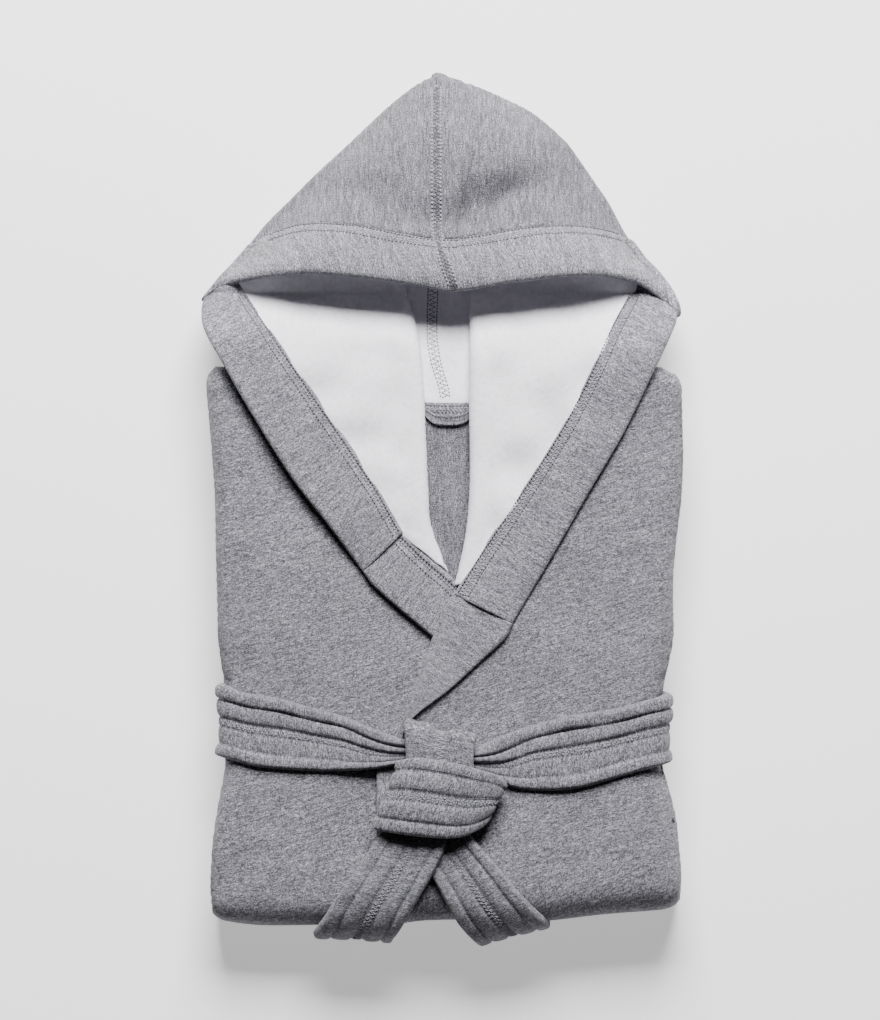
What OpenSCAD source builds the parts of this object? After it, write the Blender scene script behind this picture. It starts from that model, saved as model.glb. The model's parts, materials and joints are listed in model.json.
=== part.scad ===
// Hooded bathrobe, folded into a flat bundle and tied with its own belt.
// It lies face up on a table: +Z is up, +Y runs from the hem fold to the tip
// of the hood, and the origin is on the table under the middle of the bundle.

/* [Bundle] */
// Y of the fold across the bottom of the bundle, at its middle
bottom_y = -289; // [-289:1:-285]
// Height of the top of the overlapping front panel
bundle_h = 62; // [60:0.5:64]
// Thickness of one folded panel of the front or back
panel_t = 5.5; // [4:0.5:5.5]
// Thickness of the lower layer of folded skirt
skirt_lower_t = 13; // [11:0.5:14]
// Thickness of the upper layer of folded skirt
skirt_upper_t = 12; // [10:0.5:13]
// Thickness of the layer that holds the two folded sleeves
sleeve_t = 9; // [7:0.5:9]

/* [Hood] */
// Y of the tip of the hood
peak_y = 305; // [300:1:306]
// Y of the line across the shoulders that the hood folds about
hood_fold_y = 102; // [102:1:104]
// Height of the highest point of the brim
brim_h = 82; // [76:1:86]
// Width of the brim band
brim_w = 38; // [30:1:42]
// Thickness of the outer cloth of the hood
hood_cloth_t = 4; // [3:0.5:4]
// Thickness of the white lining of the hood
lining_t = 2.5; // [2:0.25:2.5]

/* [Belt] */
// Thickness of the belt, two layers of cloth stitched flat
belt_t = 5; // [4:0.5:5]
// Height of the top of the knot
knot_h = 84; // [78:1:86]
// Width of the belt where it lies flat round the bundle
belt_w = 52; // [48:1:54]

/* [Hidden] */

gap = 0.5;                     // running space between cloth that moves and cloth that doesn't
grey = [0.60, 0.60, 0.63];
dark_grey = [0.50, 0.50, 0.53];
white = [0.90, 0.90, 0.93];

// Heights of the stack, from the table up
skirt_mid_z = skirt_lower_t;
sleeve_z = skirt_mid_z + skirt_upper_t;
loop_z = sleeve_z + sleeve_t;
side_fold_z = loop_z + 1.3;
right_front_z = bundle_h - panel_t;
left_front_z = right_front_z - panel_t;
back_z = left_front_z - 5;
belt_channel_h = belt_t + 0.2;
left_top_z = right_front_z + 0.3;   // what lies on the left front panel starts here
right_top_z = bundle_h + 0.3;       // what lies on the right front panel starts here
collar_t = 7;

// Plan outline of the bundle
top_y = 100;
collar_end_y = hood_fold_y - gap;   // where the collar stops, short of the fold line
side_in_x = 156;                    // the belt pulls the sides in to here
belt_mid_y = -151;

function arc(cx, cy, r, a0, a1, steps = 5) =
    [for (i = [0:steps]) let (a = a0 + (a1 - a0) * i / steps) [cx + r * cos(a), cy + r * sin(a)]];

function clamp01(t) = min(1, max(0, t));
function ease(t) = clamp01(t) * clamp01(t) * (3 - 2 * clamp01(t));
function mix(a, b, t) = a + (b - a) * t;

bundle_outline = concat(
    arc(-153, top_y - 13, 13, 90, 180),
    [[-164, 60], [-161, 0], [-159, -90], [-side_in_x, -120], [-side_in_x, -186], [-160, -225]],
    arc(-151, bottom_y + 14, 12, 180, 270),
    [[0, bottom_y]],
    arc(154, bottom_y + 17, 10, -90, 0),
    [[162, -225], [side_in_x + 1, -186], [side_in_x + 1, -124], [161, -90], [164, -20], [168, 40]],
    arc(155, top_y - 17, 13, 0, 90)
);

module slab(points, z0, z1) {
    translate([0, 0, z0]) linear_extrude(z1 - z0) polygon(points);
}

module bundle_slab(z0, z1, inset = 0) {
    k = 1 - inset / 165;
    translate([0, -inset / 2, z0]) linear_extrude(z1 - z0)
        polygon([for (p = bundle_outline) [p[0] * k, p[1] * k]]);
}

module box(x0, x1, y0, y1, z0, z1) {
    translate([x0, y0, z0]) cube([x1 - x0, y1 - y0, z1 - z0]);
}

// ---- skirt, sleeves and sides, folded behind the back ----

skirt_inset = 4;                    // how far the lowest layer sits inside the bundle's outline
hem_band_w = 25;
hem_y = 62;                         // where the skirt ends, on the underside

module skirt_lower_layer() {
    color(grey) difference() {
        bundle_slab(0, skirt_mid_z, skirt_inset);
        box(-200, 200, hem_y - hem_band_w, 200, -1, skirt_mid_z + 1);
    }
}

module hem_band() {
    color(dark_grey) intersection() {
        bundle_slab(0, skirt_mid_z, skirt_inset);
        box(-200, 200, hem_y - hem_band_w, hem_y, -1, skirt_mid_z + 1);
    }
}

module skirt_upper_layer() {
    color(grey) bundle_slab(skirt_mid_z, sleeve_z, skirt_inset / 2);
}

module sleeve(side) {
    slab([[side * 4, 92], [side * 148, 92], [side * 158, 70], [side * 151, -110],
          [side * 150, -230], [side * 12, -230]], sleeve_z, loop_z);
}

module cuff(side) {
    slab([[side * 12, -231], [side * 150, -231], [side * 151, -268], [side * 14, -268]],
         sleeve_z, loop_z);
}

module left_sleeve() color(grey) sleeve(-1);
module right_sleeve() color(grey) sleeve(1);
module left_cuff() color(dark_grey) cuff(-1);
module right_cuff() color(dark_grey) cuff(1);

// The sides of the robe, turned behind the back, with a channel that the belt runs in
module side_fold(side) {
    difference() {
        intersection() {
            bundle_slab(side_fold_z, back_z, 1);
            box(side > 0 ? 4 : -200, side > 0 ? 200 : -4, -300, 200, 0, 100);
        }
        box(-200, 200, belt_mid_y - belt_w / 2 - 4, belt_mid_y + belt_w / 2 + 2,
            side_fold_z - 1, side_fold_z + belt_channel_h);
    }
}

module left_side_fold() color(grey) side_fold(-1);
module right_side_fold() color(grey) side_fold(1);

// ---- back, neck and fronts ----

module back_panel() color(grey) bundle_slab(back_z, left_front_z);

// The V of the neckline, where the inside of the back shows
neckline = [[-34, top_y + 5], [-32, 20], [2, -60], [16, -60], [46, 20], [44, top_y + 5]];

module back_neck_facing() {
    color(dark_grey) slab([[-33, 66], [-31, 20], [3, -58], [15, -58], [44, 20], [43, 66]],
                          left_front_z, left_front_z + 1.5);
}

module neck_tape() {
    color(grey) slab([[-33, 66], [43, 66], [43, 76], [-33, 76]], left_front_z, left_front_z + 3);
}

// The lining between the neck tape and the line that the hood folds about
module hood_neck_lining() {
    color(white) slab([[-33.3, 76.2], [43.3, 76.2], [43.3, collar_end_y], [-33.3, collar_end_y]],
                      left_front_z, left_front_z + lining_t);
}

module left_front_panel() {
    color(grey) difference() {
        intersection() {
            bundle_slab(left_front_z, right_front_z);
            box(-200, 110, -300, 200, 0, 100);
        }
        slab(neckline, 0, 100);
    }
}

front_edge_x = -47;                 // the free edge of the overlapping front, below the knot
band_inner_x = -14;                 // the seam that joins its band to it

module right_front_panel() {
    color(grey) difference() {
        union() {
            difference() {
                bundle_slab(right_front_z, bundle_h);
                slab([[-200, 200], [5, 200], [5, -60], [0, -60], [-28, -150],
                      [band_inner_x, -165], [band_inner_x, -300], [-200, -300]], 0, 100);
            }
            intersection() {
                bundle_slab(left_front_z, right_front_z);
                box(110, 200, -300, 200, 0, 100);
            }
        }
        slab(neckline, 0, 100);
    }
}

// The band down the free edge of the overlapping front, from under the knot to the fold
module front_edge_band() {
    color(dark_grey) intersection() {
        bundle_slab(right_front_z, bundle_h);
        slab([[front_edge_x, -300], [band_inner_x, -300], [band_inner_x, -165],
              [-30, -152], [front_edge_x, -190]], 0, 100);
    }
}

// ---- collar: the lower hood, turned open over the fronts ----

left_seam = [[-118, collar_end_y], [-69, 26], [-30, -19]];
right_seam = [[106, collar_end_y], [53, 12], [13, -52]];

module left_collar_lining() {
    color(white) slab(concat([[-14, collar_end_y]], left_seam,
        [[6, -51], [-3, -26], [-11, 5], [-14, 61]]), left_top_z, left_top_z + collar_t);
}

module right_collar_lining() {
    color(white) slab(concat([[21, collar_end_y]], right_seam,
        [[18, -23], [23, 5], [21, 61]]), right_top_z, right_top_z + collar_t);
}

module left_collar_band() {
    color(grey) slab(concat(left_seam,
        [[-57, -46], [-72, -16], [-100, 25], [-155, collar_end_y]]),
        left_top_z, left_top_z + collar_t + 1);
}

module right_collar_band() {
    color(grey) slab(concat(right_seam,
        [[8, -61], [47, -82], [52, -79], [81, -16], [109, 30], [149, collar_end_y]]),
        right_top_z, right_top_z + collar_t);
}

module left_lapel() {
    color(dark_grey) slab([[-30, -19.5], [2, -49], [-2, -60], [-11, -90], [-30, -72], [-56.5, -46]],
                          left_top_z, left_top_z + 5);
}

module right_lapel() {
    color(dark_grey) slab([[8, -61], [47, -82], [18, -114], [-5, -135], [-29, -151],
                           [-27, -144], [-8, -93]], right_top_z, right_top_z + 5);
}

// ---- hanger loop: a strip sewn to the neck tape by its ends, bowed off the facing ----

hanger_x0 = -13;
hanger_x1 = 20;
hanger_leg = 4;
hanger_y = 63;
tape_y = 66;
hanger_gap_z = left_front_z + 6.2;
hanger_t = 1.6;

module hanger_loop() {
    color(grey) {
        box(hanger_x0, hanger_x1, hanger_y - 5, hanger_y, hanger_gap_z, hanger_gap_z + hanger_t);
        for (x = [hanger_x0, hanger_x1 - hanger_leg])
            box(x, x + hanger_leg, hanger_y, tape_y, left_front_z + 1.5, hanger_gap_z + hanger_t);
    }
}

// ---- belt ----

module belt_loop(x) {
    box(x - 5, x + 5, belt_mid_y - belt_w / 2 - 7, belt_mid_y + belt_w / 2 + 7, loop_z + 0.1,
        side_fold_z - 0.1);
}

module belt_loop_left() color(dark_grey) belt_loop(-40);
module belt_loop_right() color(dark_grey) belt_loop(40);

belt_low_y = belt_mid_y - belt_w / 2;
belt_high_y = belt_mid_y + belt_w / 2;
belt_side_t = 3.4;

module belt_back_run() {
    color(grey) box(-side_in_x - 0.4, side_in_x + 1.4, belt_low_y, belt_high_y,
                    side_fold_z, side_fold_z + belt_t);
}

module belt_left_side() {
    color(grey) box(-side_in_x - 0.4 - belt_side_t, -side_in_x - 0.4, belt_low_y, belt_high_y,
                    side_fold_z, left_top_z + belt_t);
}

module belt_right_side() {
    color(grey) box(side_in_x + 1.4, side_in_x + 1.4 + belt_side_t, belt_low_y, belt_high_y,
                    side_fold_z, right_top_z + belt_t);
}

left_run = [[-side_in_x - 0.4, belt_high_y], [-121, -135], [-79, -142], [front_edge_x, -156],
            [-31, -164], [-36, -180], [front_edge_x, -184], [-86, -184], [-135, -182],
            [-side_in_x - 0.4, belt_low_y]];

module belt_left_run() {
    color(grey) union() {
        intersection() {
            slab(left_run, left_top_z, left_top_z + belt_t + 2);
            box(-200, front_edge_x - gap, -300, 0, 0, 100);
        }
        intersection() {
            slab(left_run, right_top_z, right_top_z + belt_t);
            box(front_edge_x - gap - 6, 0, -300, 0, 0, 100);
        }
    }
}

module belt_right_run() {
    color(grey) slab([[side_in_x + 1.4, belt_high_y], [123, -140], [81, -150], [46, -161],
                      [24, -168], [24, -182], [43, -190], [57, -198], [81, -198], [123, -191],
                      [side_in_x + 1.4, belt_low_y]], right_top_z, right_top_z + belt_t);
}

knot_wrap_z = bundle_h + 8;

module knot_loop() {
    color(grey) slab([[-30, -153], [-10, -157], [22, -163], [22, -178], [-30, -178]],
                     right_top_z, knot_h - 5);
}

module knot_wrap() {
    color(grey) slab([[-36, -184], [-30, -178.5], [-2, -178.5], [22, -182], [42, -191], [39, -201],
                      [29, -219], [18, -230], [-2, -233], [-24, -231], [-50, -225], [-44, -208]],
                     knot_wrap_z, knot_h);
}

module knot_core() {
    color(dark_grey) slab([[-30, -186], [-2, -180], [18, -186], [32, -193], [20, -222],
                           [-4, -228], [-38, -222]], right_top_z, knot_wrap_z);
}

// Tails leave the lower edge of the knot, lie on the front and drop over the fold
tail_top_z = right_top_z + belt_t;
tail_end_z = 10;
left_tail_root = [[-48, -228], [0, -236]];
left_tail_edge = [[-92, -291], [-34, -296]];
left_tail_drop = [[-92, -296], [-34, -301]];
right_tail_edge = [[28, -300], [76, -287]];
right_tail_drop = [[28, -305], [76, -292]];

module belt_left_tail() {
    color(grey) slab([left_tail_root[0], left_tail_root[1], left_tail_edge[1],
                      left_tail_edge[0]], right_top_z, tail_top_z);
}

module belt_left_tail_end() {
    color(dark_grey) slab([left_tail_edge[0], left_tail_edge[1], left_tail_drop[1],
                           left_tail_drop[0]], tail_end_z, tail_top_z);
}

module belt_right_tail() {
    color(grey) slab([[9, -241], [25, -234], right_tail_edge[1], right_tail_edge[0], [-4, -256]],
                     right_top_z, tail_top_z);
}

module belt_right_tail_end() {
    color(dark_grey) slab([right_tail_edge[0], right_tail_edge[1], right_tail_drop[1],
                           right_tail_drop[0]], tail_end_z, tail_top_z);
}

// ---- hood ----

hood_y0 = hood_fold_y + gap;
left_hood_edge = [[145, -168], [157, -160], [177, -142], [194, -125], [219, -100], [250, -72],
                  [275, -51], [296, -30], [peak_y, -10]];
right_hood_edge = [[147, 164], [168, 145], [187, 131], [208, 117], [229, 103], [257, 82],
                   [275, 61], [290, 40], [299, 19], [peak_y, 1]];
brim_front_y = 149;                 // Y of the brim at the middle and at both corners
brim_wave = 12;                     // how far the brim bows back between them
hood_slope_len = 165;               // how far the back of the hood takes to reach the table
to_tip = 200;                       // longer than the hood, so a stretch with this ends at the tip
across = 8;                         // steps across half of the hood in a shell
along = 8;                          // steps from the brim band to the tip in a shell
brim_steps = 3;                     // steps across the brim band in a shell

function hood_x(u, y) = mix(lookup(y, left_hood_edge), lookup(y, right_hood_edge), (u + 1) / 2);
// Height of the inside of the back of the hood, which slopes from the neck down to the table
function floor_z(y) = mix(left_front_z + 1, hood_cloth_t + lining_t + gap,
                          ease((y - hood_y0) / hood_slope_len));
function brim_y(u) = brim_front_y + brim_wave * sin(180 * abs(u));
function crown_edge_z(y) = floor_z(y) + hood_cloth_t + lining_t + 0.3;
// Height along the middle of the crown: a little hollow, from the brim down to the tip
function crown_mid_z(y) = mix(brim_h, crown_edge_z(peak_y) + 2,
                              pow(clamp01((y - brim_front_y) / (peak_y - brim_front_y)), 1.15));
// Height across the crown: full in the middle, closing on the back of the hood at its edges
function crown_z(u, y) = mix(crown_edge_z(y), crown_mid_z(y), 1 - pow(abs(u), 2.2));
function crown_point(u, y, drop) = [hood_x(u, y), y, crown_z(u, y) - drop];

// A closed shell between two grids of points, rows by columns
module shell(upper, lower) {
    rows = len(upper);
    cols = len(upper[0]);
    n = rows * cols;
    points = concat([for (row = upper) for (p = row) p], [for (row = lower) for (p = row) p]);
    faces = concat(
        [for (i = [0:rows - 2]) for (j = [0:cols - 2]) let (k = i * cols + j)
            each [[k, k + cols, k + 1], [k + 1, k + cols, k + cols + 1]]],
        [for (i = [0:rows - 2]) for (j = [0:cols - 2]) let (k = n + i * cols + j)
            each [[k, k + 1, k + cols], [k + 1, k + cols + 1, k + cols]]],
        [for (j = [0:cols - 2]) let (a = j, b = (rows - 1) * cols + j)
            each [[a, a + 1, n + a], [a + 1, n + a + 1, n + a],
                  [b, n + b, b + 1], [b + 1, n + b, n + b + 1]]],
        [for (i = [0:rows - 2]) let (a = i * cols, b = i * cols + cols - 1)
            each [[a, n + a, a + cols], [a + cols, n + a, n + a + cols],
                  [b, b + cols, n + b], [b + cols, n + b + cols, n + b]]]
    );
    polyhedron(points, faces, convexity = 6);
}

// Half of the crown, side -1 or 1, between two distances behind the front edge of the brim
function crown_grid(side, from, to, drop, steps) =
    [for (i = [0:steps]) [for (j = [0:across])
        let (u = side > 0 ? j / across : -1 + j / across,
             y = mix(brim_y(u) + from, min(peak_y, brim_y(u) + to), i / steps))
        crown_point(u, y, drop)]];

// The whole of that half, brim band and panel, with the band's last row used once
function crown_rows(side, drop) =
    let (panel = crown_grid(side, brim_w, to_tip, drop, along))
    concat(crown_grid(side, 0, brim_w, drop, brim_steps), [for (i = [1:along]) panel[i]]);

module crown_panel(side) {
    shell(crown_grid(side, brim_w, to_tip, 0, along),
          crown_grid(side, brim_w, to_tip, hood_cloth_t, along));
}

module brim_band(side) {
    shell(crown_grid(side, 0, brim_w, 0, brim_steps),
          crown_grid(side, 0, brim_w, hood_cloth_t, brim_steps));
}

module crown_lining(side) {
    shell(crown_rows(side, hood_cloth_t), crown_rows(side, hood_cloth_t + lining_t));
}

module crown_left_panel() color(grey) crown_panel(-1);
module crown_right_panel() color(grey) crown_panel(1);
module brim_left_band() color(dark_grey) brim_band(-1);
module brim_right_band() color(dark_grey) brim_band(1);
module crown_left_lining() color(white) crown_lining(-1);
module crown_right_lining() color(white) crown_lining(1);

// The flat seam up the middle of the crown
seam_tape_w = 9;
function seam_tape_grid(lift) =
    [for (i = [0:12]) [for (s = [-0.5, 0.5]) let (y = mix(brim_front_y + 1, peak_y - 5, i / 12))
        [hood_x(0, y) + s * seam_tape_w, y, crown_mid_z(y) + lift]]];

module crown_seam_tape() {
    color(dark_grey) shell(seam_tape_grid(1.6), seam_tape_grid(0.4));
}

// The back of the hood, under everything: outer cloth below, lining above
back_half_w = [[hood_y0, 60], [140, 110], [150, 155], [157, 156], [194, 121], [219, 97],
               [250, 70], [275, 49], [296, 26], [peak_y, 8]];
function back_grid(drop) =
    [for (i = [0:12]) [for (s = [-1:0.5:1]) let (y = mix(hood_y0, peak_y, i / 12))
        [hood_x(0, max(y, left_hood_edge[0][0])) + s * lookup(y, back_half_w), y, floor_z(y) - drop]]];

module hood_back_lining() color(white) shell(back_grid(0), back_grid(lining_t));
module hood_back_panel() {
    color(grey) shell(back_grid(lining_t), back_grid(lining_t + hood_cloth_t));
}

// The sides of the hood, turned open: lining inside, band along the free edge
side_t = 6;                         // thickness of a turned-open side
side_slope_len = 60;                // how far it takes to slope down from the shoulders
function side_z(y, top_z) = mix(top_z, floor_z(brim_front_y) + 8, ease((y - hood_y0) / side_slope_len));
function side_strip(edge_a, edge_b, y_to, top_z, drop) =
    [for (i = [0:6]) let (y = mix(hood_y0, y_to, i / 6))
        [for (t = [0, 0.5, 1]) [mix(lookup(y, edge_a), lookup(y, edge_b), t), y,
                                side_z(y, top_z) - drop]]];

left_inner = [[hood_y0, -14], [148, -19]];
left_band_seam = [[hood_y0, -119], [148, -139]];
left_band_edge = [[hood_y0, -156], [112, -162], [124, -166], [143, -168]];
right_inner = [[hood_y0, 21], [148, 21]];
right_band_seam = [[hood_y0, 107], [148, 129]];
right_band_edge = [[hood_y0, 150], [120, 158], [137, 163], [143, 164]];
left_side_top_z = left_top_z + collar_t;
right_side_top_z = right_top_z + collar_t;

module hood_left_lining() {
    color(white) shell(side_strip(left_band_seam, left_inner, 148, left_side_top_z, 0),
                       side_strip(left_band_seam, left_inner, 148, left_side_top_z, side_t));
}

module hood_right_lining() {
    color(white) shell(side_strip(right_inner, right_band_seam, 148, right_side_top_z, 0),
                       side_strip(right_inner, right_band_seam, 148, right_side_top_z, side_t));
}

module hood_left_band() {
    color(grey) shell(side_strip(left_band_edge, left_band_seam, 143, left_side_top_z, 0),
                      side_strip(left_band_edge, left_band_seam, 143, left_side_top_z, side_t));
}

module hood_right_band() {
    color(grey) shell(side_strip(right_band_seam, right_band_edge, 143, right_side_top_z, 0),
                      side_strip(right_band_seam, right_band_edge, 143, right_side_top_z, side_t));
}

skirt_lower_layer();
skirt_upper_layer();
hem_band();
left_sleeve();
right_sleeve();
left_cuff();
right_cuff();
left_side_fold();
right_side_fold();
back_panel();
back_neck_facing();
neck_tape();
hood_neck_lining();
left_front_panel();
right_front_panel();
front_edge_band();
left_lapel();
right_lapel();
left_collar_band();
right_collar_band();
left_collar_lining();
right_collar_lining();
belt_loop_left();
belt_loop_right();
belt_back_run();
belt_left_side();
belt_right_side();
belt_left_run();
belt_right_run();
knot_loop();
knot_wrap();
knot_core();
belt_left_tail();
belt_left_tail_end();
belt_right_tail();
belt_right_tail_end();
hanger_loop();
hood_back_panel();
hood_back_lining();
hood_left_band();
hood_right_band();
hood_left_lining();
hood_right_lining();
crown_left_panel();
crown_right_panel();
crown_left_lining();
crown_right_lining();
brim_left_band();
brim_right_band();
crown_seam_tape();
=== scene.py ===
"""A hooded bathrobe, folded and tied with its own belt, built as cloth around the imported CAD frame.

Lengths are in millimetres until a mesh is made. x, y and z are the frame's own axes.
Each piece of cloth is cut flat, and a mapping folds the flat pattern into place."""

import json
import math

import bpy
import numpy as np
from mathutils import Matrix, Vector
from mathutils.geometry import delaunay_2d_cdt


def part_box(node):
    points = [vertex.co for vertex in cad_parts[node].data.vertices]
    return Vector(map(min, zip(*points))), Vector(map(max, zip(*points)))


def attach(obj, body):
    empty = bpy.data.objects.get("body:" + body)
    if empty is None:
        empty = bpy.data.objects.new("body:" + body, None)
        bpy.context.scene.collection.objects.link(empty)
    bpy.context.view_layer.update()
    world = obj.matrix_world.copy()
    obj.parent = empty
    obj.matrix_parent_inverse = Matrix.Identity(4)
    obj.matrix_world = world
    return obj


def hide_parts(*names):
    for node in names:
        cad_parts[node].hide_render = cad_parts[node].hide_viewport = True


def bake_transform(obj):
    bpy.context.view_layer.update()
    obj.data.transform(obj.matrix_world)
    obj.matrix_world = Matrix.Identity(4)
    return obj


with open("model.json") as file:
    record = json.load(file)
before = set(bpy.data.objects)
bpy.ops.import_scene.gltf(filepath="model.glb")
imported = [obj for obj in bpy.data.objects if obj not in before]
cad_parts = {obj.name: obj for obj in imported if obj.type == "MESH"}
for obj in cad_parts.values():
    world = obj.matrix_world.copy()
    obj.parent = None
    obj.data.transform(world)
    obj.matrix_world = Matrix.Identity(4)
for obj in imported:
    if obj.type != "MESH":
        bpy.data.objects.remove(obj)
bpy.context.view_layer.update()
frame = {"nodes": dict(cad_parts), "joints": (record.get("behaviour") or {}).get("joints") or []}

# The camera looks straight down, as a person would at a table, from a little way off
camera_data = bpy.data.cameras.new("camera")
camera = bpy.data.objects.new("camera", camera_data)
bpy.context.scene.collection.objects.link(camera)
bpy.context.scene.camera = camera
camera_data.lens = 302.5
camera.location = (-0.0025, -0.0018, 6.06)

MM = 0.001
SIDES = ((-1, "left"), (1, "right"))  # the sign of x and the word for each side


# ---------------------------------------------------------------- measures from the frame

def low(node):
    return np.array(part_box(node)[0]) / MM


def high(node):
    return np.array(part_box(node)[1]) / MM


LEFT_Z = high("left_front_panel")[2]         # top of the left front
RIGHT_Z = high("right_front_panel")[2]       # top of the right front, which laps over it
SIDE_Z = low("left_side_fold")[2]            # underside of the sides turned behind the back
SHOULDER_Y = high("back_panel")[1]
BOTTOM_Y = low("back_panel")[1]
BELT_LOW_Y, BELT_HIGH_Y = low("belt_back_run")[1], high("belt_back_run")[1]
BELT_Y = (BELT_LOW_Y + BELT_HIGH_Y) / 2
BELT_W = BELT_HIGH_Y - BELT_LOW_Y
JOINT = {j["name"]: j for j in frame["joints"]}
FOLD_Y = JOINT["hood_fold"]["pos_m"][1] / MM
PEAK_Y = high("crown_left_panel")[1]
BRIM_Z = high("brim_left_band")[2]
BRIM_Y = low("brim_left_band")[1]
KNOT_Z = high("knot_wrap")[2]


# ---------------------------------------------------------------- curves and fields

def mix(a, b, t):
    return a + (b - a) * t


def ease(t):
    t = np.clip(t, 0, 1)
    return t * t * (3 - 2 * t)


def bump(x, middle, width):
    return np.exp(-(((x - middle) / width) ** 2))


def curve(points, closed=False):
    """A smooth curve through points, as a function of the share of its length."""
    p = np.array(points, float)
    if closed:
        p = np.vstack([p[-1], p, p[0], p[1]])
    else:
        p = np.vstack([2 * p[0] - p[1], p, 2 * p[-1] - p[-2]])
    t = np.linspace(0, 1, 24, endpoint=False)[:, None]
    dense = []
    for a, b, c, d in zip(p, p[1:], p[2:], p[3:]):
        size = max(np.linalg.norm(c - b), 1e-6)
        m0 = (c - a) * size / max(np.linalg.norm(b - a) + size, 1e-6)
        m1 = (d - b) * size / max(np.linalg.norm(d - c) + size, 1e-6)
        dense.append(
            (2 * t**3 - 3 * t**2 + 1) * b + (t**3 - 2 * t**2 + t) * m0
            + (3 * t**2 - 2 * t**3) * c + (t**3 - t**2) * m1
        )
    dense = np.vstack(dense + [p[-2:-1]])
    along = np.r_[0, np.cumsum(np.linalg.norm(np.diff(dense, axis=0), axis=1))]

    def at(share):
        s = np.clip(share, 0, 1) * along[-1]
        return np.stack([np.interp(s, along, dense[:, k]) for k in range(dense.shape[1])], -1)

    at.length = along[-1]
    return at


def graph(points, of=1):
    """A smooth curve read as a function: x of y, or y of x where of is 0."""
    c = curve(points)(np.linspace(0, 1, 240))
    order = np.argsort(c[:, of])
    return lambda t: np.interp(t, c[order, of], c[order, 1 - of])


def evenly(points, step):
    """A closed outline with points about step apart, its corners kept."""
    out = []
    for a, b in zip(points, np.roll(points, -1, axis=0)):
        n = max(1, int(round(np.linalg.norm(b - a) / step)))
        out += [mix(a, b, i / n) for i in range(n)]
    return np.array(out)


def softened(points, times=2):
    """A closed outline with its corners cut round."""
    p = np.array(points, float)
    for _ in range(times):
        q = np.roll(p, -1, axis=0)
        p = np.stack([0.75 * p + 0.25 * q, 0.25 * p + 0.75 * q], 1).reshape(-1, 2)
    return p


def sway(x, y, size, seed, waves=10):
    """A smooth random field, about -1 to 1, with hills about size apart."""
    r = np.random.default_rng(seed)
    total = np.zeros(np.broadcast(x, y).shape)
    for _ in range(waves):
        angle, phase = r.uniform(0, 2 * math.pi, 2)
        k = 2 * math.pi / (size * r.uniform(0.7, 1.6))
        total = total + np.sin(k * (x * math.cos(angle) + y * math.sin(angle)) + phase)
    return total / math.sqrt(waves)


def plan(node):
    """The outline of a flat CAD slab seen from above, its points in order."""
    mesh = frame["nodes"][node].data
    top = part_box(node)[1].z - 2e-5
    edges = {}
    for face in mesh.polygons:
        co = [mesh.vertices[i].co for i in face.vertices]
        if min(c.z for c in co) < top:
            continue
        keys = [(round(c.x / MM, 2), round(c.y / MM, 2)) for c in co]
        for a, b in zip(keys, keys[1:] + keys[:1]):
            edges[a, b] = True
    following = {a: b for a, b in edges if (b, a) not in edges}
    first = min(following)
    out, here = [first], following[first]
    while here != first:
        out.append(here)
        here = following[here]
    return np.array(out)


def side_x(node, side):
    """x of a bundle slab's side as a function of y."""
    p = plan(node)
    p = p[p[:, 0] * side > 40]
    p = p[np.argsort(p[:, 1])]
    return lambda y: np.interp(y, p[:, 1], p[:, 0])


edge_x = {-1: side_x("back_panel", -1), 1: side_x("back_panel", 1)}


# Upper and lower edge of the belt across the front, as it runs to the knot
belt_top_y = {
    -1: graph([(-172, -124), (-156, -124), (-141, -129), (-112, -135), (-82, -143), (-53, -153),
               (-26, -163)], 0),
    1: graph([(18, -170), (34, -163), (53, -155), (83, -147), (124, -140), (157, -131),
              (172, -131)], 0),
}
belt_low_y = {
    -1: graph([(-172, -176), (-156, -176), (-131, -182), (-102, -184.5), (-72, -185.5),
               (-48, -183), (-26, -179)], 0),
    1: graph([(18, -184), (34, -191), (50, -197), (72, -198.5), (96, -196), (124, -189),
              (157, -179.5), (172, -179.5)], 0),
}
BELT_SINK = 1.8                       # how far the belt presses into the cloth under it


def settle(x, y):
    """How far the top of the bundle rises or sinks: soft swells, and a dip under the belt."""
    waist = bump(y, BELT_Y, 34)
    return 0.9 * sway(x, y, 95, 3) * (1 - 0.6 * waist) - 1.6 * waist


def pressed(x, y):
    """How far the belt sinks the cloth right under it."""
    top, bottom = (np.where(x < 0, e[-1](x), e[1](x)) for e in (belt_top_y, belt_low_y))
    return BELT_SINK * ease((y - bottom + 1) / 7) * ease((top + 1 - y) / 7)


def side_fall(inward):
    """How far the top of the bundle has fallen at a distance in from its side."""
    return 3.6 * (1 - np.clip(inward / 48, 0, 1)) ** 2


# ---------------------------------------------------------------- materials

def node_tree(name):
    m = bpy.data.materials.new(name)
    m.use_nodes = True
    t = m.node_tree
    shader = next(n for n in t.nodes if n.type == "BSDF_PRINCIPLED")
    return m, t, shader


def flat_noise(t, scale, stretch, turn, detail=2.0):
    """Noise over the flat pattern: scale in features a metre, drawn out along turn degrees."""
    a = t.nodes.new("ShaderNodeAttribute")
    a.attribute_name = "flat"
    spin = t.nodes.new("ShaderNodeMapping")
    spin.inputs["Rotation"].default_value = (0, 0, -math.radians(turn))
    t.links.new(a.outputs["Vector"], spin.inputs["Vector"])
    squeeze = t.nodes.new("ShaderNodeMapping")
    squeeze.inputs["Scale"].default_value = (scale / stretch, scale, scale)
    t.links.new(spin.outputs["Vector"], squeeze.inputs["Vector"])
    n = t.nodes.new("ShaderNodeTexNoise")
    n.inputs["Scale"].default_value = 1.0
    n.inputs["Detail"].default_value = detail
    t.links.new(squeeze.outputs["Vector"], n.inputs["Vector"])
    return n.outputs["Fac"]


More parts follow.
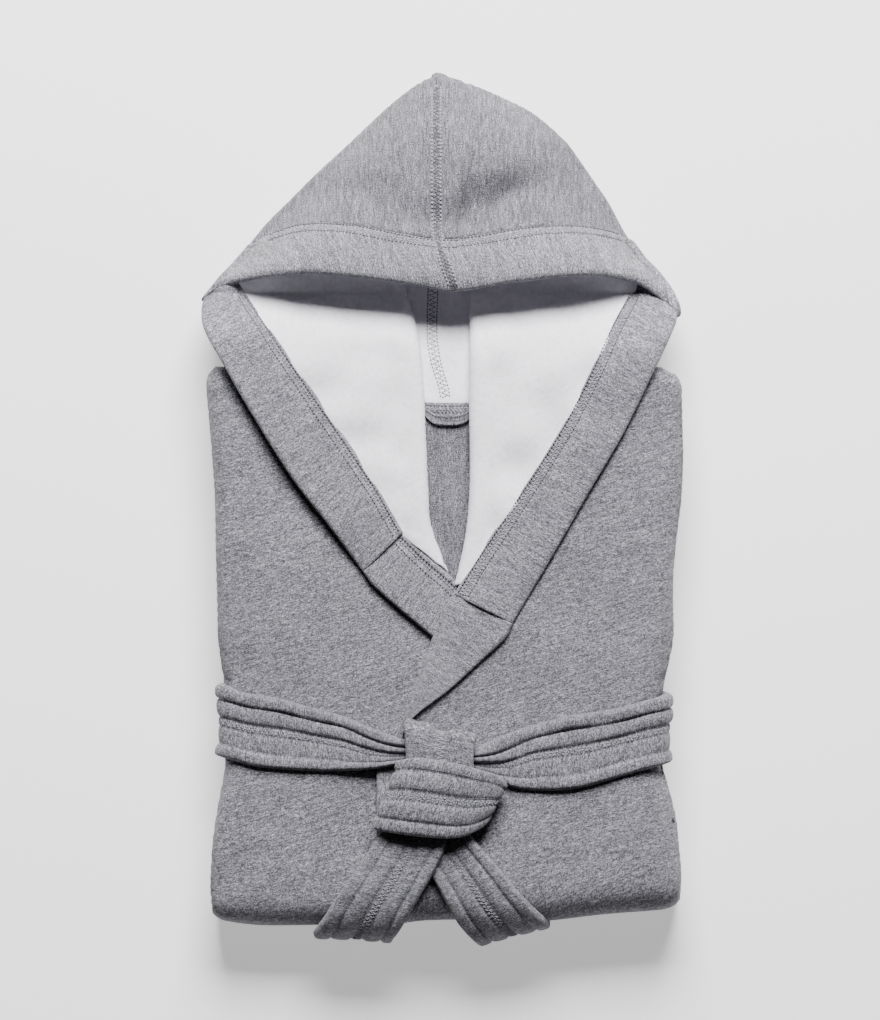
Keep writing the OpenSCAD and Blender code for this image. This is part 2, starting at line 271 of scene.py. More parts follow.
def ramp(t, value, stops, tint=(1, 1, 1)):
    r = t.nodes.new("ShaderNodeValToRGB")
    while len(r.color_ramp.elements) < len(stops):
        r.color_ramp.elements.new(0.5)
    for e, (at, c) in zip(r.color_ramp.elements, stops):
        e.position = at
        e.color = (c * tint[0], c * tint[1], c * tint[2], 1)
    t.links.new(value, r.inputs["Fac"])
    return r.outputs["Color"]


def multiply(t, a, b):
    m = t.nodes.new("ShaderNodeMix")
    m.data_type, m.blend_type = "RGBA", "MULTIPLY"
    m.inputs["Factor"].default_value = 1.0
    t.links.new(a, m.inputs["A"])
    t.links.new(b, m.inputs["B"])
    return m.outputs["Result"]


def add_bump(t, shader, heights):
    """Chained bumps: (height socket, strength, distance in metres)."""
    last = None
    for height, strength, distance in heights:
        b = t.nodes.new("ShaderNodeBump")
        b.inputs["Strength"].default_value = strength
        b.inputs["Distance"].default_value = distance
        t.links.new(height, b.inputs["Height"])
        if last:
            t.links.new(last, b.inputs["Normal"])
        last = b.outputs["Normal"]
    t.links.new(last, shader.inputs["Normal"])


def surface(t, shader, colour, values):
    """Gives a shader its colour and its other values, by the names of their sockets."""
    t.links.new(colour, shader.inputs["Base Color"])
    for socket, value in values.items():
        shader.inputs[socket].default_value = value


GREY_TINT = (1.015, 1.0, 1.13)        # the dyed yarn is a slightly violet grey
WHITE_TINT = (0.99, 0.975, 1.045)     # and the lining a faintly violet white
YARN = ((0.30, 0.130), (0.45, 0.215), (0.56, 0.270), (0.72, 0.400))     # dark fibres to pale


def heather(name, turn, tone, rib=0.35):
    """Grey sweatshirt cloth: dark and pale fibres mixed, streaks along turn, and fine knit ribs."""
    m, t, s = node_tree(name)
    colour = ramp(t, flat_noise(t, 1250, 5.0, turn), [(at, c * tone) for at, c in YARN], GREY_TINT)
    flecks = ramp(t, flat_noise(t, 1500, 1.4, turn, 1.0), [(0.33, 0.40), (0.5, 1.0), (0.67, 1.80)])
    clouds = ramp(t, flat_noise(t, 70, 3.5, turn), [(0.3, 0.92), (0.7, 1.08)])
    slubs = ramp(t, flat_noise(t, 420, 6.5, turn, 1.0), [(0.30, 0.78), (0.70, 1.22)])
    for layer in (flecks, clouds, slubs):
        colour = multiply(t, colour, layer)
    surface(t, s, colour, {"Roughness": 0.92, "Specular IOR Level": 0.18, "Sheen Weight": 0.18,
                           "Sheen Roughness": 0.55})
    add_bump(t, s, [(flat_noise(t, 900, 3.0, turn + 90), rib, 0.0007),
                    (flat_noise(t, 1300, 1.0, turn, 1.0), 0.7, 0.0008)])
    return m


def fleece(name):
    """White brushed lining: a soft nap with faint clumps."""
    m, t, s = node_tree(name)
    colour = ramp(t, flat_noise(t, 420, 1.3, 90, 3.0), [(0.3, 0.80), (0.55, 0.88), (0.8, 0.93)],
                  WHITE_TINT)
    surface(t, s, colour, {"Roughness": 0.96, "Specular IOR Level": 0.1, "Sheen Weight": 0.35,
                           "Sheen Roughness": 0.7})
    add_bump(t, s, [(flat_noise(t, 260, 1.4, 60, 3.0), 0.35, 0.0012),
                    (flat_noise(t, 1400, 1.0, 0, 2.0), 0.40, 0.0005)])
    return m


def thread(name, tone):
    m, t, s = node_tree(name)
    colour = ramp(t, flat_noise(t, 2500, 3.0, 0), [(0.3, 0.62 * tone), (0.7, tone)], GREY_TINT)
    surface(t, s, colour, {"Roughness": 0.75, "Sheen Weight": 0.15})
    return m


# Painted shade: grey_cloth_upright_shaded is the fronts' grey cloth at a darker tone, 0.52 against
# 0.63, so the hood's crown, the back, the sleeves and the turned-open sides come out darker.
CLOTH_UP_SHADED = heather("grey_cloth_upright_shaded", 90, 0.52, 0.6)
CLOTH_LEVEL = heather("grey_cloth_level", 16, 0.63)
# Painted light: grey_band_lit is the same grey cloth at a lighter tone, 0.70, so the bands, the brim,
# the hems, the lapels and the neck tape come out lighter than the fronts.
CLOTH_BAND_LIT = heather("grey_band_lit", 90, 0.70)
CLOTH_BELT = heather("grey_belt", 90, 0.57)
CLOTH_RIB = heather("grey_rib", 90, 0.50, 0.8)
LINING = fleece("white_fleece")
THREAD = thread("grey_thread", 0.31)
DARK_THREAD = thread("dark_thread", 0.11)


# ---------------------------------------------------------------- sheets of cloth

CUTS = {}                             # how each piece of cloth was cut, by its name


def slope(place, p):
    """Where flat points lie, and the cloth's normal there."""
    d = 0.25
    here = place(p)
    du = place(p + [d, 0]) - place(p - [d, 0])
    dv = place(p + [0, d]) - place(p - [0, d])
    n = np.cross(du, dv)
    return here, n / np.maximum(np.linalg.norm(n, axis=1), 1e-9)[:, None]


def make_object(name, points, faces, flat, material):
    mesh = bpy.data.meshes.new(name)
    mesh.from_pydata((np.asarray(points) * MM).tolist(), [], faces)
    mesh.update()
    a = mesh.attributes.new("flat", "FLOAT_VECTOR", "POINT")
    a.data.foreach_set("vector", (np.asarray(flat) * MM).astype(np.float32).ravel())
    for poly in mesh.polygons:
        poly.use_smooth = True
    mesh.materials.append(material)
    o = bpy.data.objects.new(name, mesh)
    bpy.context.scene.collection.objects.link(o)
    return o


def round_off(depth, half):
    """Half thickness at a distance in from a cloth's edge, rounded at the edge."""
    d = np.clip(depth, 0, half)
    return np.sqrt(np.maximum(half**2 - (half - d) ** 2, 0))


def edge_steps(length, step, half):
    """Positions along one side of a strip, close together where its ends are rounded."""
    ends = half * np.array([0, 0.13, 0.5, 1.0])
    n = max(2, int((length - 2 * half) / step))
    return np.r_[ends[:-1], np.linspace(half, length - half, n + 1), length - ends[:-1][::-1]]


class Cloth:
    """One ply or one folded thickness of cloth, cut flat, that place(points) puts in the frame.

    offset moves it along its own normal, so two plies can share one mapping. sign is -1 where
    the mapping turns the pattern over."""

    def __init__(self, thick, place, relief=None, offset=0.0, sign=1):
        self.half, self.place, self.relief = thick / 2, place, relief
        self.offset, self.sign = offset, sign

    def lie(self, p):
        here, n = slope(self.place, p)
        return here, n * self.sign

    def raised(self, p, here, n, half):
        """Points of the upper face, where half is the half thickness at each."""
        rise = half + self.offset
        if self.relief:
            rise = rise + self.relief(p[:, 0], p[:, 1]) * half / self.half
        return here + n * rise[:, None]

    def top(self, p, lift=0.0):
        """Points of the upper face and their normals, for what is sewn to it."""
        p = np.asarray(p, float)
        here, n = self.lie(p)
        return self.raised(p, here, n, np.full(len(p), self.half)) + n * lift, n

    def closed(self, name, p, depth, faces, rim, material):
        """The mesh between the upper and lower face, which share their rim."""
        here, n = self.lie(p)
        half = np.where(rim, 0, round_off(depth, self.half))
        upper = self.raised(p, here, n, half)
        lower = here + n * (self.offset - half)[:, None]
        under = np.arange(len(p))
        under[~rim] = len(p) + np.arange((~rim).sum())
        points = np.vstack([upper, lower[~rim]])
        flat = np.vstack([np.c_[p, half], np.c_[p, -half][~rim]])
        below = [[int(under[i]) for i in reversed(f)] for f in faces]
        every = faces + below
        if self.sign < 0:
            every = [f[::-1] for f in every]
        CUTS[name] = self
        return make_object(name, points, every, flat, material)


class Strip(Cloth):
    """A rectangle of cloth: u runs along its length and v across its width."""

    def __init__(self, length, width, thick, place, relief=None, offset=0.0, sign=1):
        super().__init__(thick, place, relief, offset, sign)
        self.length, self.width = length, width
        self.area = length * width

    def build(self, name, material, step=2.0, across=None, blunt=1):
        """blunt is how many times sooner the ends reach full thickness than the sides."""
        us = edge_steps(self.length, step, self.half)
        vs = edge_steps(self.width, across or step, self.half)
        u, v = np.meshgrid(us, vs, indexing="ij")
        p = np.stack([u.ravel(), v.ravel()], 1)
        depth = np.minimum(np.minimum(p[:, 0], self.length - p[:, 0]) * blunt,
                           np.minimum(p[:, 1], self.width - p[:, 1]))
        rows, cols = len(us), len(vs)
        index = np.arange(rows * cols).reshape(rows, cols)
        rim = np.ones((rows, cols), bool)
        rim[1:-1, 1:-1] = False
        quads = np.stack([index[:-1, :-1], index[1:, :-1], index[1:, 1:], index[:-1, 1:]], -1)
        return self.closed(name, p, depth, quads.reshape(-1, 4).tolist(), rim.ravel(), material)


class Patch(Cloth):
    """A piece of cloth of any outline."""

    def __init__(self, outline, thick, place, relief=None, offset=0.0, sign=1):
        super().__init__(thick, place, relief, offset, sign)
        q = np.asarray(outline, float)
        area = np.sum(q[:, 0] * np.roll(q[:, 1], -1) - q[:, 1] * np.roll(q[:, 0], -1)) / 2
        self.outline = q if area > 0 else q[::-1]
        self.area = abs(area)

    def build(self, name, material, step=4.0):
        ring = evenly(self.outline, step)
        ahead = np.roll(ring, -1, 0) - np.roll(ring, 1, 0)
        ahead /= np.maximum(np.linalg.norm(ahead, axis=1), 1e-9)[:, None]
        inward = np.stack([-ahead[:, 1], ahead[:, 0]], 1)
        lo, hi = ring.min(0), ring.max(0)
        gx, gy = np.meshgrid(np.arange(lo[0], hi[0], step), np.arange(lo[1], hi[1], step * 0.87))
        gx[1::2] += step / 2
        grid = np.stack([gx.ravel(), gy.ravel()], 1)
        grid = grid[distance_in(grid, ring) > self.half + step * 0.5]
        every = [ring]
        for share in (0.13, 0.5, 1.0):
            inner = ring + inward * self.half * share
            every.append(inner[distance_in(inner, ring) > self.half * share * 0.9])
        co, _, faces, *_ = delaunay_2d_cdt(
            [tuple(q) for q in np.vstack(every + [grid])], [], [list(range(len(ring)))], 1, 1e-4)
        p = np.array([tuple(c) for c in co])
        depth = np.maximum(distance_in(p, ring), 0)
        return self.closed(name, p, depth, [list(f) for f in faces], depth < 0.02, material)


def distance_in(p, ring):
    """Distance from points to a closed outline, negative outside it."""
    best = np.full(len(p), 1e9)
    inside = np.zeros(len(p), bool)
    for a, b in zip(ring, np.roll(ring, -1, 0)):
        d = b - a
        t = np.clip(((p - a) @ d) / max(d @ d, 1e-12), 0, 1)
        best = np.minimum(best, np.hypot(*(p - a - t[:, None] * d).T))
        if a[1] != b[1]:
            crosses = (a[1] > p[:, 1]) != (b[1] > p[:, 1])
            inside ^= crosses & (p[:, 0] < a[0] + (p[:, 1] - a[1]) * d[0] / d[1])
    return np.where(inside, best, -best)


def ruled(first, second, width, arch=0.0):
    """A mapping from a strip to the surface between two 3-D curves, bulged by arch between them."""
    a, b = curve(first), curve(second)
    length = (a.length + b.length) / 2

    def place(p):
        along, over = p[:, 0] / length, p[:, 1:] / width
        q = mix(a(along), b(along), over)
        q[:, 2] += arch * (1 - (2 * np.clip(over[:, 0], 0, 1) - 1) ** 2)
        return q
    return place, length


def declare(name):
    """Works out how large a sheet of cloth was when it was cut, at least 10 mm each way. The sizes are
    not used further."""
    cut = CUTS[name]
    if isinstance(cut, Strip):
        wide, long = cut.width, cut.length
    else:
        wide, long = np.ptp(cut.outline, axis=0)
    wide, long = max(wide, 10.0), max(long, 10.0)


def add(obj, body, nodes=()):
    """Rides a piece on a body; where body is a pair of bodies and a line, it only bakes the piece's
    placement into its mesh. It hides the CAD nodes that the piece stands for.
    """
    if isinstance(body, tuple):
        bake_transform(obj)
    else:
        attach(obj, body)
    if nodes:
        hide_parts(*nodes)


# Where cloth bends between the robe and the hood
AT_FOLD = ("robe", "hood", (0, (FOLD_Y - 3.0) * MM, 0.06), (0, (FOLD_Y + 26.0) * MM, 0.06))


def tubes(share, marks, height):
    """The rounded ridges of a stitched belt, between the marks across it."""
    rise = 0 * share
    for a, b, tall in zip(marks, marks[1:], height):
        t = np.clip((share - a) / np.maximum(b - a, 1e-3), 0, 1)
        mound = np.sqrt(np.maximum(1 - np.abs(2 * t - 1) ** 2.6, 0))
        rise = np.where((share >= a) & (share <= b), mound * tall, rise)
    return rise


# ---------------------------------------------------------------- stitching

LOOPER = {"pitch": 2.0, "fill": 0.9}  # the thread that crosses between rows has close stitches


def stitches(name, path, normals, body, slot, size=0.42, pitch=2.6, fill=0.72, material=None):
    """A row of sewn stitches along a path that lies on the cloth: one small loop for each pitch."""
    seg = np.linalg.norm(np.diff(path, axis=0), axis=1)
    along = np.r_[0, np.cumsum(seg)]

    def at(s):
        return (np.stack([np.interp(s, along, path[:, k]) for k in range(3)], -1),
                np.stack([np.interp(s, along, normals[:, k]) for k in range(3)], -1))

    points, faces, flat = [], [], []
    sides = 6
    ring = np.linspace(0, 2 * math.pi, sides, endpoint=False)
    shares = np.array([0, 0.12, 0.5, 0.88, 1.0])
    widths = np.array([0.35, 0.85, 1.0, 0.85, 0.35])
    rises = np.array([-0.75, 0.05, 0.45, 0.05, -0.75])
    rings = len(shares)
    for i in range(max(1, int(along[-1] / pitch))):
        start = (i + (1 - fill) / 2) * pitch
        spots, ups = at(start + shares * pitch * fill)
        ahead = spots[-1] - spots[0]
        ahead /= max(np.linalg.norm(ahead), 1e-9)
        for k in range(rings):
            up = ups[k] / max(np.linalg.norm(ups[k]), 1e-9)
            side = np.cross(ahead, up)
            side /= max(np.linalg.norm(side), 1e-9)
            middle = spots[k] + up * rises[k] * size
            for a in ring:
                points.append(middle + (side * math.cos(a) + up * math.sin(a)) * size * widths[k])
                flat.append((i * pitch, size * math.cos(a), size * math.sin(a)))
        first = i * rings * sides
        last = first + (rings - 1) * sides
        for base in range(first, last, sides):
            for j in range(sides):
                a, b = base + j, base + (j + 1) % sides
                faces.append([a, b, b + sides, a + sides])
        faces.append([first + j for j in range(sides - 1, -1, -1)])
        faces.append([last + j for j in range(sides)])
    add(make_object(name, points, faces, flat, material or THREAD), body)


def sew(name, cloth, line, body, slot, lift=0.12, **kw):
    """Stitches along flat points of a piece of cloth."""
    p = np.asarray(line, float)
    along = np.r_[0, np.cumsum(np.linalg.norm(np.diff(p, axis=0), axis=1))]
    s = np.linspace(0, along[-1], max(4, int(along[-1] / 1.3)))
    p = np.stack([np.interp(s, along, p[:, k]) for k in range(2)], 1)
    top, n = cloth.top(p, lift)
    stitches(name, top, n, body, slot, **kw)


def zigzag(u0, u1, v, width, pitch):
    n = int(abs(u1 - u0) / pitch)
    us = np.linspace(u0, u1, n * 2 + 1)
    return [(u, v + (width / 2 if i % 2 else -width / 2)) for i, u in enumerate(us)]


def cover_stitch(name, cloth, u0, u1, v, width, body, slot, size):
    """Two straight needle rows with a looper thread crossing between them."""
    for k, offset in enumerate((-width / 2, width / 2)):
        sew(f"{name}_row_{k}", cloth, [(u0, v + offset), (u1, v + offset)], body, slot,
            size=size, material=DARK_THREAD)
    sew(f"{name}_looper", cloth, zigzag(u0, u1, v, width * 0.8, 2.6), body, slot,
        size=size * 0.8, **LOOPER)


def needle_rows(name, cloth, u0, u1, body, slot):
    """The three rows of stitches along the inner edge of a band, the middle one paler."""
    for k, (v, colour) in enumerate(((3.0, DARK_THREAD), (5.2, THREAD), (8.8, DARK_THREAD))):
        sew(f"{name}_{k}", cloth, [(u0, v), (u1, v)], body, slot, size=0.5, material=colour)


def groove(u, v):
    """The dent that those rows pull along a band's inner edge."""
    return -1.2 * np.exp(-(((v - 5.4) / 2.4) ** 4)) + 0 * u


# ---------------------------------------------------------------- folding

ROBE_T = 4.6
BELT_T = 4.6
half_t = ROBE_T / 2
under_z = SIDE_Z + half_t             # height of the middle of the sides turned behind


def fold_over(x, side, edge, top, under, least=2.4):
    """Where cloth at unfolded x goes when it is folded under at a side.

    edge is how far out its middle reaches, top and under the heights of the two halves."""
    r = np.maximum((top - under) / 2, least)
    middle = (top + under) / 2
    s = side * x - (edge - r)
    turn = np.clip(s / r, 0, math.pi)
    past = np.maximum(s - math.pi * r, 0)
    out = np.where(s > 0, edge - r + r * np.sin(turn) - past, side * x)
    z = np.where(s > 0, middle + r * np.cos(turn), top)
    return side * out, z


BEND_Z = RIGHT_Z / 2                  # height of the line the bundle's bottom folds about
BEND_Y = BOTTOM_Y + BEND_Z
BEND_R = 24.0                         # radius at which the stack neither stretches nor shortens
HALF_TURN = math.pi * BEND_R
LAP_X = low("front_edge_band")[0]     # free edge of the overlapping front
LAP_SEAM_X = high("front_edge_band")[0]
HEM_Y = high("hem_band")[1]
HEM_W = HEM_Y - low("hem_band")[1]
HEM_FLAT_Y = BEND_Y - HALF_TURN - (HEM_Y - BEND_Y)      # the hem on the unfolded cloth


def outermost(x):
    """Radius of the outer cloth at the bottom fold: the overlap is one front thicker."""
    return mix(LEFT_Z - BEND_Z, RIGHT_Z - BEND_Z, ease((x - LAP_X + 18) / 50))


def resting(x):
    """Radius of the cloth that lies on the table behind: the overlap reaches its own edge."""
    return mix(LEFT_Z - BEND_Z, RIGHT_Z - BEND_Z, ease((x - LAP_X + 52) / 50))


def squared(power=2.7, count=400):
    """A half turn that stays flat for longer than a circle: sine and cosine of its share."""
    t = np.linspace(0, math.pi, count)
    out = np.abs(np.sin(t)) ** (2 / power)
    up = np.sign(np.cos(t)) * np.abs(np.cos(t)) ** (2 / power)
    along = np.r_[0, np.cumsum(np.hypot(np.diff(out), np.diff(up)))]
    return lambda share: (np.interp(share, along / along[-1], out),
                          np.interp(share, along / along[-1], up))


bottom_turn = squared()


def bend(q):
    """Turns the flat stack of layers under at the bottom of the bundle."""
    x, y, z = q.T
    lowest = BOTTOM_Y - 3 + 9 * ((x + 50) / 210) ** 2 + 1.2 * sway(x, 0 * x, 90, 21)
    axis = lowest + outermost(x)
    s = BEND_Y - y
    turn = np.clip(s / BEND_R, 0, math.pi)
    past = np.maximum(s - HALF_TURN, 0)
    r = (z - BEND_Z) * mix(1, (RIGHT_Z - BEND_Z) / resting(x), ease(turn / math.pi))
    r = r + 0.5 * np.maximum(outermost(x) - 2.3 - r, 0) * np.clip(r / 8, 0, 1) * ease(turn)
    shift = mix(BEND_Y, axis, ease((s + 60) / 60))
    out, up = bottom_turn(turn / math.pi)
    y2 = np.where(s > 0, shift - r * out + past, y - BEND_Y + shift)
    return np.stack([x, y2, np.where(s > 0, np.maximum(BEND_Z + r * up, 0.2), z)], 1)


def narrowing(y):
    """How much the bundle's corners draw in round the bottom fold."""
    s = np.clip((BEND_Y - y) / HALF_TURN, 0, 1)
    return 0.6 * np.sin(math.pi * s) ** 2


WIDER = {-1: 1.5, 1: 3.5}             # how far the bundle spreads at its bottom corners


def side_edge(side, y):
    """How far out the bundle reaches at a side, on the unfolded length of cloth."""
    below = y < BEND_Y - HALF_TURN
    where = np.where(below, 2 * BEND_Y - HALF_TURN - y, y)
    seen = np.clip(where, BEND_Y - 4, SHOULDER_Y - 1.8)
    out = side * edge_x[side](seen) - narrowing(y) - 3.6 * bump(where, BELT_Y, 40)
    out = out - 3.0 * ease((BEND_Y - 45 - y) / 40) + WIDER[side] * ease((-195 - where) / 60)
    return out + 0.8 * sway(0 * y, y, 70, 5 + side)


def channel(y):
    """1 where the belt runs behind the bundle."""
    reach = BELT_W / 2
    return ease((reach + 8 - np.abs(y - BELT_Y)) / 8)


def near_line(x, y, line):
    """Distance from points in plan to a line of points."""
    best = np.full(np.shape(x), 1e9)
    for (ax, ay), (bx, by) in zip(line, line[1:]):
        dx, dy = bx - ax, by - ay
        t = np.clip(((x - ax) * dx + (y - ay) * dy) / (dx * dx + dy * dy), 0, 1)
        best = np.minimum(best, np.hypot(x - ax - t * dx, y - ay - t * dy))
    return best


OPEN_EDGE = {-1: [(-156, 103), (-130, 59), (-104, 18), (-79, -14), (-55, -47), (-30, -72), (-5, -93)],
             1: [(150, 100), (126, 52), (101, 9), (73, -39), (48, -82), (25, -109), (5, -128),
                 (-22, -150)]}

# How far the collar holds each front up: the left one is pressed down instead
PROPPED = {-1: -1.2, 1: 1.2}


def propped(side, x, y):
    """How far a front is raised along the collar's edge."""
    return PROPPED[side] * np.exp(-((near_line(x, y, OPEN_EDGE[side]) / 12) ** 2))


def stack_fold(side, p, top):
    """A ply of the bundle: folded behind at its side, then under at the bottom."""
    x, y = p.T
    lift = (settle(x, y) + propped(side, x, y)) * ease((y - BEND_Y + 40) / 60) - pressed(x, y)
    lower = under_z + (BELT_T + 0.4) * channel(y)
    edge = side_edge(side, y) - half_t
    x2, z = fold_over(x, side, edge, top, lower)
    lift = lift - side_fall(edge - side * x2)
    middle = (top + lower) / 2
    z = z + lift * np.where(z > middle, 1, 0) * ease((z - middle) / 5)
    return bend(np.stack([x2, y, z], 1))


# ---------------------------------------------------------------- the bundle

FRONT_TUCK = 46.0                     # how far a side runs on behind the bundle
BACK_TUCK = 60.0                      # and how far the back does
BACK_INSET = 14.0                     # how far inside the fronts the back folds at its sides
hem_seam_y = HEM_FLAT_Y + HEM_W
shoulder = SHOULDER_Y - 1.5           # the cloth is rolled over a little at the shoulders
v_bottom = -62.0


def ply(side, top):
    return lambda p: stack_fold(side, p, top)


def cut_edge(side, y, top):
    """Where the flat pattern of a front ends: round its side and on behind the bundle."""
    return side * (side_edge(side, y) + (math.pi - 1) * (top - under_z) / 2 + FRONT_TUCK)


def front(name, side, inner, top, nodes):
    """A front and the side it runs on to. inner is its edge near the middle, from the top down."""
    ys = np.linspace(shoulder, hem_seam_y, 40)
    outer = np.stack([cut_edge(side, ys, top), ys], 1)[::-1]
    cut = Patch(np.vstack([np.array(inner), outer]), ROBE_T, ply(side, top))
    add(cut.build(name, CLOTH_LEVEL), "robe", nodes)


front("left_front", -1,
      [(-36, shoulder), (-34, 20), (0, v_bottom), (60, v_bottom - 30), (60, hem_seam_y)],
      LEFT_Z - half_t, ["left_front_panel", "left_side_fold"])
front("right_front", 1,
      [(45, shoulder), (46, 20), (17, v_bottom), (2, v_bottom), (-28, -150),
       (LAP_SEAM_X, -166), (LAP_SEAM_X, hem_seam_y)],
      RIGHT_Z - half_t, ["right_front_panel", "right_side_fold", "skirt_lower_layer"])

band_seam_x = LAP_SEAM_X + 2.4
band_cut = Patch([(band_seam_x, -166), (-30, -152), (LAP_X, -186), (LAP_X, hem_seam_y),
                  (band_seam_x, hem_seam_y)], ROBE_T, ply(1, RIGHT_Z - half_t))
add(band_cut.build("front_edge_band", CLOTH_BAND_LIT), "robe", ["front_edge_band"])

for side, name, inner_x, top in ((-1, "left_hem", 60, LEFT_Z), (1, "right_hem", LAP_X, RIGHT_Z)):
    outer_x = cut_edge(side, np.array([hem_seam_y]), top - half_t)[0]
    seam_y = hem_seam_y - 0.3
    hem_cut = Patch([(inner_x, seam_y), (outer_x, seam_y), (outer_x, HEM_FLAT_Y),
                     (inner_x, HEM_FLAT_Y)], ROBE_T + 0.6, ply(side, top - half_t))
    add(hem_cut.build(name, CLOTH_BAND_LIT), "robe", ["hem_band"])

back_z = low("left_front_panel")[2] - half_t


def back_place(p):
    x, y = p.T
    side = np.where(x < 0, -1, 1)
    edge = np.where(x < 0, side_edge(-1, y), side_edge(1, y)) - BACK_INSET
    lower = back_z - 5.2 + 0 * y
    x2, z = fold_over(x, side, edge, back_z + 0 * y, lower)
    return bend(np.stack([x2, y, z], 1))


ys = np.linspace(shoulder, HEM_FLAT_Y + 12, 30)
left_line, right_line = (
    np.stack([side * (side_edge(side, ys) - BACK_INSET + BACK_TUCK), ys], 1) for side in (-1, 1))
back_cut = Patch(np.vstack([left_line, right_line[::-1]]), ROBE_T, back_place)
add(back_cut.build("back", CLOTH_UP_SHADED, 5.0), "robe",
    ["back_panel", "skirt_upper_layer"])


def slab(z):
    return lambda p: np.stack([*p.T, z + 0.25 * sway(*p.T, 80, 8)], 1)


for _, word in SIDES:
    for part, material, slot in (("sleeve", CLOTH_UP_SHADED, "outer_cloth"),
                                 ("cuff", CLOTH_RIB, "band_cloth")):
        node = f"{word}_{part}"
        outline = plan(node)
        outline[:, 1] = np.maximum(outline[:, 1], BOTTOM_Y + BEND_Z - 2)
        bottom, top = low(node)[2], high(node)[2]
        cut = Patch(softened(outline), top - bottom - 1.0, slab((bottom + top) / 2 + 0.3))
        add(cut.build(node, material, 5.0), "robe", [node])

# ---------------------------------------------------------------- neck

facing_z, facing_top = low("back_neck_facing")[2], high("back_neck_facing")[2]
facing_cut = Patch([(-40, 68), (-38, 15), (-2, -66), (20, -66), (50, 15), (50, 68)], 1.6,
                   lambda p: np.stack([*p.T, facing_z + 0.8 + settle(*p.T)], 1))
add(facing_cut.build("back_neck_facing", CLOTH_RIB, 3.0), "robe",
    ["back_neck_facing"])

TAPE_LOW, TAPE_HIGH = low("neck_tape")[1], high("neck_tape")[1]
tape_w = TAPE_HIGH - TAPE_LOW


def tape_place(p):
    x = -38 + p[:, 0]
    y = TAPE_LOW + p[:, 1] - 2.5 * (1 - ((x - 5) / 45) ** 2)
    return np.stack([x, y, facing_z + 2.4 + settle(x, y)], 1)


tape_cut = Strip(88, tape_w, 1.8, tape_place)
add(tape_cut.build("neck_tape", CLOTH_BAND_LIT, 2.0), "robe", ["neck_tape"])
cover_stitch("neck_tape_stitch", tape_cut, 2, 86, tape_w * 0.55, 4.6, "robe", "neck_tape", 0.48)

LOOP_X0, LOOP_X1 = low("hanger_loop")[0], high("hanger_loop")[0]
LOOP_W = 7.6
rise = high("hanger_loop")[2] - facing_top


def loop_curve(shift):
    """An edge of the hanger loop: from one end under the tape, down, across and up again."""
    y = TAPE_LOW - 1.6
    z = facing_top + 1.0
    steps = ((2, 4, 0), (2.4, 0.5, 0.06), (7, -2.5, 0.12))
    half = [(inward, y + up + shift, z + rise * share) for inward, up, share in steps]
    middle = [((LOOP_X0 + LOOP_X1) / 2, y - 3.5 + shift, z + rise * 0.14)]
    return ([(LOOP_X0 + x, *rest) for x, *rest in half] + middle
            + [(LOOP_X1 - x, *rest) for x, *rest in half[::-1]])


place, length = ruled(loop_curve(-LOOP_W / 2), loop_curve(LOOP_W / 2), LOOP_W)
hanger_cut = Strip(length, LOOP_W, 1.6, place,
                   lambda u, v: tubes(v / LOOP_W, [0, 0.3, 0.7, 1], [1.0, 0.5, 1.0]))
add(hanger_cut.build("hanger_loop", CLOTH_RIB, 1.2, 0.6), "robe", ["hanger_loop"])

# ---------------------------------------------------------------- hood: its shape

NECK_Z = high("back_neck_facing")[2] - 0.5           # inside of the back of the hood at the neck
TIP_FLOOR_Z = low("crown_left_lining")[2] + 0.2
CAD_HOOD_T = 4.0
LINING_T = 2.5


def floor_z(y):
    """Height of the inside of the back of the hood: from the neck down to the table."""
    return mix(NECK_Z, TIP_FLOOR_Z, ease((y - FOLD_Y) / 84))


OUT_Y = low("hood_left_band")[1] + 44.5              # where the hood is widest
hood_out = {
    -1: graph([(-168, 122), (-170.5, 136), (-169.5, 147), (-165, 156), (-152.5, 166), (-139, 183),
               (-126, 199), (-109, 216), (-90.5, 234.5), (-70.3, 253), (-53.5, 269), (-36, 285),
               (-18, 298.5), (-11, 302), (-4, PEAK_Y + 2.5)]),
    1: graph([(161, 122), (164.5, 134), (164.5, 143), (162, 150), (153, 162), (142, 174),
              (129, 192.5), (116.5, 215), (105, 232), (96, 245), (88, 256), (64, 277), (41.5, 288.5),
              (23, 296.5), (5, 303), (-6, PEAK_Y + 2.5)]),
}
seam_x = graph([(9, 140), (7, 153), (-1, 175), (-4.5, 192), (-5, 240), (-5, PEAK_Y)])
brim_y = graph([(-173, 140), (-166, 148), (-156, 155.5), (-143, 159.5), (-110, 163), (-80, 162.5),
                (-16, 154.5), (5, 150.5), (47, 156.5), (100, 162), (134, 158.5), (150, 149.5),
                (161, 138), (167, 128)], 0)
band_top_y = graph([(-172, 168), (-107, 196.5), (-72, 198), (-30, 191), (-2, 187), (26, 190),
                    (68, 196.5), (103, 196.5), (131, 189), (170, 164)], 0)
EDGE_ROLL = 4.6                                      # radius of the fold round the hood's edge


def hood_floor_z(y):
    """Height of the middle of the outer cloth at the back of the hood."""
    return floor_z(y) - LINING_T - CAD_HOOD_T / 2 - 0.3


def corner(y):
    """1 as far up as the corners of the hood's mouth, falling to 0 behind them."""
    return 1 - ease((y - 158) / 34)


def hood_edge_z(y):
    """Height of the middle of the outer cloth where it starts to roll under at the outline."""
    return hood_floor_z(y) + 2 * EDGE_ROLL * tip(y) + 6.0 * corner(y)


def tip(y):
    """1 over the hood, falling at its tip, where the two sides of the fold meet."""
    t = np.clip((y - (PEAK_Y - 6)) / 9.5, 0, 0.97)
    return np.sqrt(1 - t**2)


